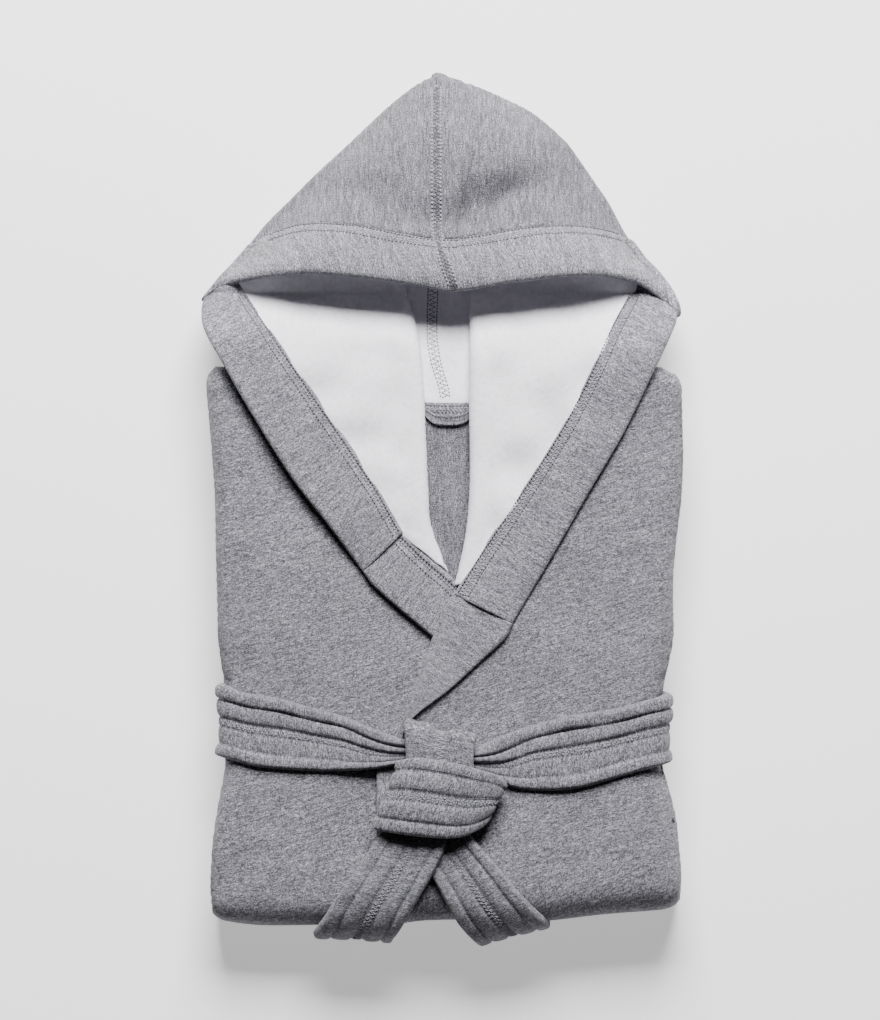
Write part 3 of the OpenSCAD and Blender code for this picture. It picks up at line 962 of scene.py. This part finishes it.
# Height of the crown along its middle: high at the brim, sagging behind it, then down to the tip
crown_line = graph([(BRIM_Y - 12, BRIM_Z - 2), (BRIM_Y + 14, BRIM_Z - 3), (188, BRIM_Z - 10),
                    (200, BRIM_Z - 17), (225, BRIM_Z - 21), (250, BRIM_Z - 26),
                    (270, BRIM_Z - 37), (288, BRIM_Z - 53), (300, 16), (308, 12)], 0)


def crown_z(x, y):
    """Height of the middle of the crown's cloth."""
    left, right = hood_out[-1](y), hood_out[1](y)
    wide = np.maximum(right - left - 2 * EDGE_ROLL - CAD_HOOD_T, 6)
    u = np.clip(np.abs(2 * x - left - right) / wide, 0, 1)
    edge = hood_edge_z(y)
    back = np.clip((y - BRIM_Y) / (PEAK_Y - BRIM_Y), 0, 1)
    middle = crown_line(y)
    z = mix(edge, np.maximum(middle, edge), 1 - u ** mix(5.0, 2.4, ease(back / 0.5)))
    inner = (1 - u**3) * tip(y)
    z = z - 12.0 * bump(x, 11.5 + 0.12 * (y - 190), 4.5) * bump(y, 205, 24) * inner
    z = z - 12.0 * bump((x - 45) * 0.4 - (y - 219) * 0.92, 0, 14) * bump(x, 50, 34) * inner
    z = z - 4.0 * bump((x + 30) * 0.3 + (y - 210) * 0.95, 0, 13) * bump(x, -42, 30) * inner
    return z + 1.4 * sway(x, y, 55, 11) * inner


def hood_reach(side, y, seam):
    """How far the middle of a half's cloth reaches out from the crown's seam."""
    return np.maximum(side * (hood_out[side](np.maximum(y, OUT_Y - 8)) - seam) - CAD_HOOD_T / 2, 0.9)


def hood_place(side):
    """Outer cloth of one half: across from the crown's seam, round the edge, to the back seam."""

    def place(p):
        a, y = p.T
        y3 = np.minimum(y, PEAK_Y + 2.5)
        seam = seam_x(y3)
        reach = hood_reach(side, y3, seam)
        top, under = hood_edge_z(y3), hood_floor_z(y3)
        least = np.minimum(2.1, reach * 0.6)
        x2, z = fold_over(side * a, side, reach, top, under, least)
        x = seam + x2
        upper = a < reach - np.maximum((top - under) / 2, least)
        return np.stack([x, y, np.where(upper, crown_z(x, y3), z)], 1)
    return place


def hood_limits(side, y):
    """Across the flat pattern: where the roll starts, where it ends, and the seam at the back."""
    seam = seam_x(y)
    r = np.maximum(EDGE_ROLL * tip(y) + 3.0 * corner(y), 0.6)
    start = hood_reach(side, y, seam) - r
    end = start + math.pi * r
    return start, end, end + start + side * seam - side * BACK_SEAM_X


BACK_SEAM_X = -6.0
NECK_HALF = 60.0
for side, word in SIDES:
    corner_y = 184.0 if side < 0 else 179.0
    start = hood_limits(side, np.array([corner_y]))[0]
    xs = np.linspace(seam_x(187) + side * 0.3, seam_x(190) + side * start[0], 14)
    ends = 10 * ease((np.abs(xs) - 70) / 45)
    top_edge = [(side * (x - seam_x(band_top_y(x))), band_top_y(x) - e) for x, e in zip(xs, ends)]
    top_edge[0] = (0.15, top_edge[0][1])
    ys = np.linspace(corner_y - 6, OUT_Y + 3, 8)
    round_edge = np.stack([hood_limits(side, ys)[1] + 6, ys], 1)
    ys = np.array([138.0, 120.0, FOLD_Y, FOLD_Y - 8])
    halves = np.interp(ys, [FOLD_Y, 140, 150], [NECK_HALF, 112, 150])
    neck_edge = np.stack([hood_limits(side, ys)[2] - halves, ys], 1)
    ys = np.linspace(FOLD_Y - 8, PEAK_Y + 2.2, 30)
    short = 3.0 * ease((ys - PEAK_Y + 5) / 7) if side > 0 else 0 * ys
    back_edge = np.stack([hood_limits(side, ys)[2] - 0.15 - short, ys], 1)
    ys = np.linspace(PEAK_Y + 2.2, top_edge[0][1], 14)
    seam_edge = np.stack([0 * ys + 0.15, ys], 1)
    outline = np.vstack([top_edge, round_edge, neck_edge, back_edge, seam_edge[:-1]])
    cut = Patch(outline, CAD_HOOD_T, hood_place(side), sign=side)
    node = f"crown_{word}_panel"
    # The crown's cloth carries painted shade: its tone is darker than the fronts'.
    add(cut.build(f"hood_{word}_half", CLOTH_UP_SHADED, 3.2), AT_FOLD,
        [node, "hood_back_panel"])

# ---------------------------------------------------------------- hood: brim band and linings

BRIM_T = 6.4
BRIM_W = 37.0
BRIM_ROLL = 3.1                                      # radius of the fold round its end


def brim_root(share):
    """x of the brim's end at the crown's seam, which leans."""
    return mix(7.5, -4.0, ease(share))


def brim_reach(side, y):
    """How far out the brim's cloth reaches at a side."""
    return side * hood_out[side](np.maximum(y, OUT_Y - 6)) - 1.0


def brim_place(side):
    """Half of the brim band: across from the crown's seam and round the corner of the hood."""

    def place(p):
        a, v = p.T
        share = v / BRIM_W
        x0 = brim_root(share) + side * a
        inside = np.clip(x0, -169, 164)
        y = mix(brim_y(inside), band_top_y(inside), share)
        reach = brim_reach(side, y)
        top = hood_edge_z(y) + 0.4
        x, z = fold_over(x0, side, reach, top, top - 2 * BRIM_ROLL, BRIM_ROLL)
        upper = side * x0 < reach - BRIM_ROLL
        roll = -2.2 * np.exp(-((v / 5.0) ** 2))
        z = np.where(upper, crown_z(x0, y) + 0.4 + roll, z + roll)
        return np.stack([x, y, z], 1)
    return place


for side, word in SIDES:
    vs = np.linspace(0, BRIM_W, 12)
    ys = mix(brim_y(side * 158.0), 193.0 if side < 0 else 188.0, vs / BRIM_W)
    reach = brim_reach(side, ys) - side * brim_root(vs / BRIM_W)
    outer = np.stack([reach - BRIM_ROLL + math.pi * BRIM_ROLL + 1.0, vs], 1)
    inner = np.stack([0 * vs - 1.4, vs], 1)
    cut = Patch(np.vstack([inner, outer[::-1]]), BRIM_T, brim_place(side), sign=side)
    node = f"brim_{word}_band"
    # The brim band's cloth carries painted light: a lighter tone than the crown and the fronts.
    add(cut.build(node, CLOTH_BAND_LIT, 2.6), "hood", [node])
    cover_stitch(f"brim_{word}_stitch", cut, 3, 118 if side < 0 else 126, BRIM_W - 4.6, 5.2,
                 "hood", "seam_thread", 0.5)


def under_crown(p):
    x, y = p.T
    return np.stack([x, y, crown_z(x, y) - CAD_HOOD_T / 2 - LINING_T / 2 - 0.15], 1)


for side, word in SIDES:
    ys = np.linspace(PEAK_Y - 14, 170, 22)
    edge = hood_out[side](ys) - side * 9.0
    edge = side * np.minimum(side * edge, 140)
    front = [(x, brim_y(x) + 24) for x in np.linspace(edge[-1], seam_x(180), 12)[1:]]
    seam = [(seam_x(y) + side * 0.1, y) for y in np.linspace(182, PEAK_Y - 14, 10)]
    cut = Patch(np.vstack([np.stack([edge, ys], 1), front, seam]), LINING_T, under_crown)
    node = f"crown_{word}_lining"
    add(cut.build(node, LINING, 4.0), "hood", [node])


def back_lining_place(p):
    x, y = p.T
    near = np.minimum(facing_z + 1.6 + settle(x, y), 99)
    z = mix(near, floor_z(y) - LINING_T / 2, ease((y - TAPE_HIGH) / 34))
    ridge = 1.0 * bump(x, -8 + 6 * ease((104 - y) / 30), 6) * ease((y - 70) / 30)
    return np.stack([x, y, z + ridge + 0.4 * sway(x, y, 40, 17)], 1)


ys = np.linspace(TAPE_HIGH - 5, PEAK_Y - 12, 30)
halves = np.interp(ys, [TAPE_HIGH - 5, FOLD_Y, 140, 152, 160], [44, 52, 104, 138, 140])
left_line = np.maximum(-6 - halves, hood_out[-1](np.maximum(ys, OUT_Y)) + 11)
right_line = np.minimum(-6 + halves + 8, hood_out[1](np.maximum(ys, OUT_Y)) - 11)
lining_cut = Patch(np.vstack([np.stack([left_line, ys], 1), np.stack([right_line, ys], 1)[::-1]]),
                   LINING_T, back_lining_place)
add(lining_cut.build("hood_back_lining", LINING, 3.2), AT_FOLD,
    ["hood_back_lining", "hood_neck_lining"])
back_seam = graph([(2, 72), (0, 84), (-5, 100), (-8, 120), (-7, 165)])
for k, shift in enumerate((-3.2, 3.2)):
    line = [(back_seam(y) + shift, y) for y in np.linspace(TAPE_HIGH + 1, 186, 20)]
    sew(f"hood_back_seam_{k}", lining_cut, line, AT_FOLD, "seam_thread", size=0.5, lift=0.1)
line = [(back_seam(y) + (2.6 if i % 2 else -2.6), y)
        for i, y in enumerate(np.arange(TAPE_HIGH + 1, 186, 1.7))]
sew("hood_back_seam_looper", lining_cut, line, AT_FOLD, "seam_thread", size=0.34, **LOOPER)

# ---------------------------------------------------------------- hood: seams

seam_w = 9.0


def seam_place(p):
    y = 154 + p[:, 0]
    x = seam_x(y) + p[:, 1] - seam_w / 2
    dip = 2.0 * np.exp(-(((y - brim_y(x)) / 5.0) ** 2)) * (y < 170)
    band = 1.3 * ease((192 - y) / 6)
    return np.stack([x, y, crown_z(x, y) + CAD_HOOD_T / 2 + band - dip], 1)


seam_cut = Strip(PEAK_Y - 8 - 153, seam_w, 0.9, seam_place, sign=-1)
seam_end = seam_cut.length - 2
add(seam_cut.build("crown_seam_tape", CLOTH_UP_SHADED, 2.0, 1.0), "hood",
    ["crown_seam_tape"])
for k, v in enumerate((1.5, seam_w - 1.5)):
    sew(f"crown_seam_stitch_{k}", seam_cut, [(1, v), (seam_end, v)], "hood", "seam_thread",
        size=0.72, pitch=2.9)
sew("crown_seam_looper", seam_cut, zigzag(1, seam_end, seam_w / 2, 4.6, 2.7), "hood",
    "seam_thread", size=0.4, material=DARK_THREAD, **LOOPER)

# ---------------------------------------------------------------- hood sides, turned open

FLAP_T = 5.6
FLAP_TOP = {side: high(f"{word}_collar_lining")[2] for side, word in SIDES}
roll_in = {
    -1: graph([(-34, 172), (-29, 152), (-20.5, 121), (-17, 91), (-15, 52), (-13, 6.5), (-11.5, -12),
               (-2, -39), (3, -50), (10, -66)]),
    1: graph([(21, 172), (21, 126), (20.5, 75), (21, 18), (18.5, -16), (12.5, -46), (6, -68)]),
}
band_in = {
    -1: [(-28, -17.5), (-46, 15), (-72, 54), (-98, 92), (-121.6, 125), (-138, 148), (-145, 160)],
    1: [(7, -61), (26, -30), (46.5, 0), (66.5, 30), (86, 62), (102.5, 95), (117, 125), (131, 150),
        (137, 162)],
}
band_out = {
    -1: [(-56, -46), (-79.5, -14), (-104.5, 18), (-130.5, 59), (-156, 103), (-168, 125),
         (-170, 139), (-166, 152)],
    1: [(48, -82), (73.5, -39), (101, 9), (126, 52), (149.5, 100), (159, 120), (164, 134),
        (161, 148)],
}


def flap_z(side, y):
    """Height of the middle of a turned-open side: on the front, down into the hood, and low
    where the lapel of the other side lies over it."""
    start = FLAP_TOP[side] - FLAP_T / 2
    start = start - (2.4 if side < 0 else 1.6) * ease((10 - y) / 55)
    end = floor_z(np.minimum(y, 150)) + FLAP_T / 2 + 2.2
    return mix(start, end, ease((y - FOLD_Y + 6) / 52))


def flap_top_z(side, x, y):
    """The same, with the swells of the front it lies on."""
    return flap_z(side, y) + settle(x, y) * ease((FOLD_Y + 20 - y) / 40)


def flap_place(side):
    """A turned-open side, folded under at its inner edge, which faces the middle."""

    def place(p):
        x, y = p.T
        z_top = flap_top_z(side, x, y)
        low_z = mix(facing_z + 1.6 + FLAP_T / 2, floor_z(y) + FLAP_T / 2 - 0.6, ease((y - 80) / 50))
        edge = roll_in[side](y)
        inward = -side
        r = np.maximum((z_top - low_z) / 2, 2.9)
        s = inward * (x - edge) + r
        turn = np.clip(s / r, 0, math.pi)
        past = np.maximum(s - math.pi * r, 0)
        out = np.where(s > 0, edge - inward * r + inward * (r * np.sin(turn) - past), x)
        z = np.where(s > 0, z_top - r + r * np.cos(turn), z_top)
        z = z + 1.5 * sway(x, y, 40, 31 + side) * ease(-s / 12)
        z = z + 0.9 * bump((x + 20) * 0.6 + (y + 22) * 0.8, 0, 3) * bump(y, -22, 9) * ease(-s / 6)
        if side < 0:
            z = z - 2.2 * bump(x, -31, 7) * bump(y, 34, 10)
        return np.stack([out, y, z], 1)
    return place


FLAP_LOW_Y = {-1: -57.0, 1: -58.5}    # where the white lining ends at the point of the V
for side, word in SIDES:
    seam = curve(band_in[side])(np.linspace(0, 1, 30))
    seam = seam + [side * 3.0, 0]
    lowest = FLAP_LOW_Y[side]
    seam = seam[seam[:, 1] > lowest + 1]
    seam = np.vstack([seam, seam[-1] + [-side * 4, 18]])
    ys = np.linspace(seam[-1, 1], lowest, 26)
    inner = roll_in[side](ys) - side * (10.0 + 8 * ease((ys + 60) / 30))
    seam = seam[seam[:, 1] < seam[-1, 1] - 1e-6]
    outline = np.vstack([seam, np.stack([inner, ys], 1)])
    place = flap_place(side)
    cut = Patch(outline, LINING_T, place, offset=(FLAP_T - LINING_T) / 2)
    add(cut.build(f"{word}_side_lining", LINING, 2.8), AT_FOLD,
        [f"{word}_collar_lining", f"hood_{word}_lining"])
    outer_t = FLAP_T - LINING_T - 0.2
    cut = Patch(outline, outer_t, place, offset=-(FLAP_T - outer_t) / 2)
    add(cut.build(f"{word}_side_cloth", CLOTH_UP_SHADED, 3.6), AT_FOLD)

    a, b = curve(band_in[side]), curve(band_out[side])
    length = (a.length + b.length) / 2
    width = np.linalg.norm(a(0.5) - b(0.5))

    def band_place(p, a=a, b=b, length=length, width=width, side=side):
        t, over = p[:, 0] / length, p[:, 1:] / width
        x, y = mix(a(t), b(t), over).T
        z = flap_top_z(side, x, y) + 0.5
        across = np.clip(over[:, 0], 0, 1)
        arch = 1.7 * (1 - (2 * across - 1) ** 2) - 1.3 * across**3
        if side < 0:
            arch = arch + 4.2 * across**3 * ease((y + 44) / 36) * ease((122 - y) / 34)
        return np.stack([x, y, z + arch + 0.35 * sway(x, y, 46, 41)], 1)

    cut = Strip(length, width, FLAP_T + 0.6, band_place, groove, sign=-side)
    add(cut.build(f"{word}_side_band", CLOTH_BAND_LIT, 2.2, 1.8, blunt=4), AT_FOLD,
        [f"{word}_collar_band", f"hood_{word}_band"])
    if side > 0:
        cover_stitch("right_band_stitch", cut, 3, length - 12, 5.0, 6.4, AT_FOLD, "seam_thread",
                     0.55)
    else:
        needle_rows("left_band_stitch", cut, 3, length - 12, AT_FOLD, "seam_thread")

# ---------------------------------------------------------------- lapels

LAPEL_T = high("left_lapel")[2] - low("left_lapel")[2]
LAPEL_W = 38


def lapel(word, inner, outer, thick, relief=None, sign=1):
    """A lapel between two edges, each a list of x, y and height over the middle of the lapel."""
    node = f"{word}_lapel"
    z = low(node)[2] + LAPEL_T / 2
    place, length = ruled(*([(x, y, z + dz) for x, y, dz in edge] for edge in (inner, outer)), LAPEL_W)

    def settled(p):
        q = place(p)
        return q + np.stack([0 * q[:, 0], 0 * q[:, 0], settle(q[:, 0], q[:, 1])], 1)

    cut = Strip(length, LAPEL_W, thick, settled, relief, sign=sign)
    add(cut.build(node, CLOTH_BAND_LIT, 2.0, blunt=4), "robe", [node])
    return cut


cut = lapel("left", [(-28.5, -16.8, 0), (-10, -35, 0), (8, -51, -0.4), (20, -66, -0.8)],
            [(-56.5, -45.2, 0), (-50, -54, 0), (-30, -72, 0), (-5, -93, -0.4), (4, -101, -0.8)],
            LAPEL_T, groove, -1)
needle_rows("left_lapel_stitch", cut, 2, cut.length - 6, "robe", "seam_thread")
lapel("right", [(8, -58.5, 0.6), (2, -68, 0), (-5, -93, 0), (-17, -122, 0), (-30, -152, 0),
                (-37, -166, -2)],
      [(48.5, -81.2, 0.6), (44, -91, 0.2), (25, -109, 0), (4, -128, 0), (-25, -151, 0),
       (-30, -168, -2)], LAPEL_T + 0.6)

# ---------------------------------------------------------------- belt

PULL_IN = 3.0                         # how far the belt draws in the sides
BELT_EDGE = {-1: -low("belt_left_side")[0] - BELT_T / 2 - PULL_IN,
             1: high("belt_right_side")[0] - BELT_T / 2 - PULL_IN}
KNOT_X = {-1: high("belt_left_run")[0] + 6, 1: low("belt_right_run")[0] - 4}


def belt_marks(u):
    """The belt's three sewn lines as shares of its width, and how far it is gathered there."""
    gather = ease((48 - u) / 40)
    return mix(0.20, 0.36, gather), mix(0.42, 0.58, gather), mix(0.81, 0.84, gather), gather


for side, word in SIDES:

    def belt_place(p, side=side):
        u, v = p.T
        x0 = KNOT_X[side] + side * u
        inside = np.clip(x0, -168, 168)
        y = mix(belt_top_y[side](inside), belt_low_y[side](inside), v / BELT_W)
        straight = mix(BELT_HIGH_Y, BELT_LOW_Y, v / BELT_W)
        y = mix(y, straight, ease((side * x0 - 150) / 40))
        base = mix(LEFT_Z, RIGHT_Z, ease((x0 + 78) / 34)) if side < 0 else RIGHT_Z + 0 * x0
        near_knot = ease((side * (KNOT_X[side] - x0) + 34) / 34)
        top = base - 0.5 + BELT_T / 2 + 1.4 * near_knot + settle(x0, y) - BELT_SINK
        top = top - side_fall(BELT_EDGE[side] - side * x0)
        x, z = fold_over(x0, side, BELT_EDGE[side] + 0 * x0, top, under_z + 0 * x0)
        y = y + 0.5 * sway(x0, v, 45, 51 + side)
        return np.stack([x, y, z], 1)

    def belt_relief(u, v, side=side):
        share = v / BELT_W
        first, second, last, gather = belt_marks(u)
        swell = 1 + 0.25 * gather
        scallop = 1 + 0.16 * sway(u, v, 26, 61 + side)
        return tubes(share, [0, first, second, second + 0.13, last, 1],
                     [3.6 * swell, 2.9 * swell, 0.8, 1.3, 3.2]) * scallop

    r = (RIGHT_Z + BELT_T - under_z) / 2
    length = 2 * BELT_EDGE[side] - side * KNOT_X[side] + (math.pi - 2) * r - 2
    cut = Strip(length, BELT_W, BELT_T, belt_place, belt_relief, sign=-side)
    nodes = [f"belt_{word}_run", f"belt_{word}_side", "belt_back_run"]
    add(cut.build(f"belt_{word}_run", CLOTH_BELT, 1.8, 0.9), "robe", nodes)

    us = np.linspace(4, 152, 60)
    for key, shares in zip(("first", "second", "last"), belt_marks(us)):
        sew(f"belt_{word}_stitch_{key}", cut, np.stack([us, shares * BELT_W], 1), "robe",
            "belt_cloth", size=0.36)
    us = np.arange(14, 150, 1.6)
    middle = (belt_marks(us)[1] + 0.065) * BELT_W
    wave = np.where(np.arange(len(us)) % 2, 2.4, -2.4)
    sew(f"belt_{word}_looper", cut, np.stack([us, middle + wave], 1), "robe", "belt_cloth",
        size=0.34, **LOOPER)

BELT_LOOP_W = 9
for _, word in SIDES:
    node = f"belt_loop_{word}"
    (x0, y0, z0), (x1, y1, z1) = low(node), high(node)
    z = (z0 + z1) / 2
    edges = ((x0 + x1) / 2 - BELT_LOOP_W / 2, (x0 + x1) / 2 + BELT_LOOP_W / 2)
    place, length = ruled(*([(x, y, z) for y in (y0, BELT_Y, y1)] for x in edges), BELT_LOOP_W)
    cut = Strip(length, BELT_LOOP_W, 0.9, place, sign=-1)
    add(cut.build(node, CLOTH_RIB, 3.0, 2.0), "robe", [node])

# ---------------------------------------------------------------- knot

knot_low = RIGHT_Z + 0.4
place, length = ruled(
    [(-14, -166, knot_low + 2), (-20, -157, knot_low + 4), (-27, -151.5, knot_low + 8),
     (-28, -152, knot_low + 13), (-27, -161, knot_low + 15), (-26, -184, knot_low + 13)],
    [(16, -176, knot_low + 3), (21, -167, knot_low + 3.4), (23, -163, knot_low + 6.5),
     (22, -163.5, knot_low + 10.5), (21, -172, knot_low + 12), (21, -190, knot_low + 11)],
    BELT_W, 1.6)


def loop_relief(u, v):
    dimple = -3.0 * bump(v / BELT_W, 0.5, 0.13) * bump(u, 24, 9)
    return dimple + tubes(v / BELT_W, [0, 0.17, 0.42, 0.60, 0.83, 1], [2.2, 2.6, 0.4, 2.6, 2.2])


loop_cut = Strip(length, BELT_W, BELT_T, place, loop_relief)
add(loop_cut.build("knot_loop", CLOTH_BELT, 1.5, 1.0), "robe", ["knot_loop"])

wrap_z = KNOT_Z - 2.0
place, wrap_length = ruled(
    [(-12, -184, knot_low + 6), (-24, -181.5, knot_low + 8), (-27.5, -177, wrap_z - 7),
     (-18, -174.5, wrap_z - 2), (4, -177.5, wrap_z), (24, -182.5, wrap_z - 1.5),
     (38, -187.5, wrap_z - 6), (42, -192.5, wrap_z - 11), (33, -197, knot_low + 4)],
    [(-28, -222, knot_low + 7), (-42, -223, knot_low + 5.5), (-46.5, -225.5, knot_low + 8),
     (-38, -227, wrap_z - 6), (-12, -230, wrap_z - 3), (8, -230.5, wrap_z - 4),
     (22, -225, wrap_z - 8), (29, -216, wrap_z - 12), (22, -210, knot_low + 3)],
    BELT_W, 2.6)


def wrap_relief(u, v):
    share = v / BELT_W
    ridges = tubes(share, [0, 0.17, 0.42, 0.58, 0.82, 1], [2.8, 2.4, 0.5, 2.4, 3.0])
    return ridges * (1 - 0.45 * ease((u / wrap_length - 0.55) / 0.25))


wrap_cut = Strip(wrap_length, BELT_W, BELT_T, place, wrap_relief, sign=-1)
add(wrap_cut.build("knot_wrap", CLOTH_BELT, 1.4, 0.9), "robe", ["knot_wrap"])

for k, share in enumerate((0.17, 0.42, 0.58, 0.82)):
    sew(f"knot_wrap_stitch_{k}", wrap_cut, [(8, share * BELT_W), (wrap_length - 8, share * BELT_W)],
        "robe", "belt_cloth", size=0.42)
sew("knot_loop_looper", loop_cut, zigzag(8, loop_cut.length - 6, 0.51 * BELT_W, 6.0, 3.0), "robe",
    "belt_cloth", size=0.42, **LOOPER)
sew("knot_wrap_looper", wrap_cut, zigzag(8, wrap_length - 10, 0.5 * BELT_W, 5.4, 3.0), "robe",
    "belt_cloth", size=0.36, **LOOPER)

core_outline = softened(plan("knot_core") * 0.97)
core_outline[:, 0] = np.maximum(core_outline[:, 0], -39)
core_top = high("knot_core")[2] + 1.0


def core_place(p):
    return np.stack([*p.T, (knot_low + core_top) / 2 + 0.4 * sway(*p.T, 20, 71)], 1)


core_cut = Patch(core_outline, core_top - knot_low - 0.6, core_place)
add(core_cut.build("knot_core", CLOTH_BELT, 2.6), "robe", ["knot_core"])

# ---------------------------------------------------------------- tails

TAIL_T = 4.4
TAIL_TURN_Z = 0.0675                  # height, in metres, of the line that the tails lift about


def tail(word, left, right, marks, seed, root, along):
    """A tail of the belt between two edges, with its sewn lines. root and along, in plan, go with it
    to add, which only bakes its placement.
    """
    place, length = ruled(left, right, BELT_W, 0.6)

    def relief(u, v):
        steady = 1 + 0.12 * sway(u, v, 30, seed)
        return tubes(v / BELT_W, [0, *marks, 1], [2.4, 2.0, 0.5, 1.9, 2.5]) * steady

    cut = Strip(length, BELT_W, TAIL_T, place, relief)
    node = f"belt_{word}_tail"
    turn = ("robe", f"{word}_tail", *((x * MM, y * MM, TAIL_TURN_Z) for x, y in (root, along)))
    add(cut.build(node, CLOTH_BELT, 1.8, 1.0), turn, [node, f"{node}_end"])
    for k, share in enumerate(marks):
        sew(f"{node}_stitch_{k}", cut, [(6, share * BELT_W), (length - 4, share * BELT_W)], turn,
            "belt_cloth", size=0.36)
    middle = (marks[1] + marks[2]) / 2 * BELT_W
    sew(f"{node}_looper", cut, zigzag(6, length - 4, middle, 5.0, 3.0), turn, "belt_cloth",
        size=0.34, **LOOPER)


tail("left",
     [(-38, -214, 66.5), (-46, -229, 67), (-58, -249, 66.2), (-73, -270, 65.2),
      (-84, -287, 60), (-90.5, -296.5, 47), (-91.5, -299, 30), (-90, -297, 13)],
     [(2, -222, 67.5), (2, -236, 70), (-9, -259, 70.4), (-22, -281, 66),
      (-29, -293, 58), (-34.5, -300.5, 44), (-35, -302, 28), (-35, -300, 12)],
     (0.22, 0.46, 0.62, 0.84), 81, (-24, -231), (-36, -254))
tail("right",
     [(-22, -236, 64.6), (-14, -248, 64.6), (-6, -262, 64.6), (2, -277, 63.6),
      (10, -291, 57), (18.5, -300.5, 46), (23, -305, 30), (23, -304, 12)],
     [(12, -216, 65.5), (20, -230, 67), (35, -248, 66.8), (50, -266, 66), (63, -280, 61.5),
      (72.5, -289, 48), (75, -291.5, 30), (74, -290.5, 13)],
     (0.20, 0.42, 0.56, 0.80), 82, (13, -238), (26, -256))

# ---------------------------------------------------------------- floor and light

mesh = bpy.data.meshes.new("floor")
mesh.from_pydata([(-4, -4, 0), (4, -4, 0), (4, 4, 0), (-4, 4, 0)], [], [(0, 1, 2, 3)])
floor = bpy.data.objects.new("floor", mesh)
bpy.context.scene.collection.objects.link(floor)
paint, _, s = node_tree("floor_paint")
s.inputs["Base Color"].default_value = (0.93, 0.93, 0.935, 1)
s.inputs["Roughness"].default_value = 0.9
s.inputs["Specular IOR Level"].default_value = 0.1
s.inputs["Emission Color"].default_value = (1, 1, 1, 1)
s.inputs["Emission Strength"].default_value = 0.55
mesh.materials.append(paint)

LIT = Vector((0, 0, 0.03))            # the point that every lamp faces


def lamp(name, at, size, power):
    data = bpy.data.lights.new(name, "AREA")
    data.shape = "RECTANGLE"
    data.size, data.size_y = size
    data.energy = power
    o = bpy.data.objects.new(name, data)
    o.location = at
    o.rotation_euler = (LIT - o.location).to_track_quat("-Z", "Y").to_euler()
    bpy.context.scene.collection.objects.link(o)


lamp("window", (0.1, 1.95, 1.78), (1.5, 1.3), 256)
lamp("fill_right", (1.9, 0.2, 1.5), (1.2, 1.2), 0.8)
lamp("fill_left", (-1.9, 0.1, 1.5), (1.2, 1.2), 0.8)
world = bpy.data.worlds.new("studio")
bpy.context.scene.world = world
world.use_nodes = True
sky = next(n for n in world.node_tree.nodes if n.type == "BACKGROUND")
sky.inputs["Color"].default_value = (0.95, 0.97, 1.0, 1)
sky.inputs["Strength"].default_value = 0.01

# ---------------------------------------------------------------- the soft pieces' cut sizes (how each lies, and on what, is listed but not used)

FRONTS = ["left_front", "right_front"]
for name, held, rests_on in (
        ("front_edge_band", "folded", ["left_front"]),
        ("left_front", "folded", ["back"]),
        ("right_front", "folded", ["left_front"]),
        ("left_hem", "folded", ["back"]),
        ("right_hem", "folded", ["left_hem"]),
        ("back", "folded", ["left_sleeve", "right_sleeve"]),
        ("back_neck_facing", "laid", ["back"]),
        ("neck_tape", "laid", ["back_neck_facing"]),
        ("hanger_loop", "folded", ["back_neck_facing"]),
        ("hood_back_lining", "laid", FRONTS),
        ("crown_seam_tape", "stretched", ["hood_left_half", "hood_right_half"]),
        ("left_lapel", "folded", ["left_front"]),
        ("right_lapel", "folded", ["left_lapel", "right_front"]),
        ("belt_left_run", "gathered", FRONTS),
        ("belt_right_run", "gathered", ["right_front"]),
        ("knot_loop", "gathered", ["knot_core"]),
        ("knot_wrap", "gathered", ["knot_core", "knot_loop"]),
        ("knot_core", "folded", ["right_front"]),
        ("belt_left_tail", "draped", ["right_front", "left_front"]),
        ("belt_right_tail", "draped", ["right_front"])):
    declare(name)
for _, word in SIDES:
    declare(f"{word}_sleeve")
    declare(f"{word}_cuff")
    declare(f"hood_{word}_half")
    declare(f"brim_{word}_band")
    declare(f"crown_{word}_lining")
    declare(f"{word}_side_lining")
    declare(f"{word}_side_cloth")
    declare(f"{word}_side_band")
    declare(f"belt_loop_{word}")
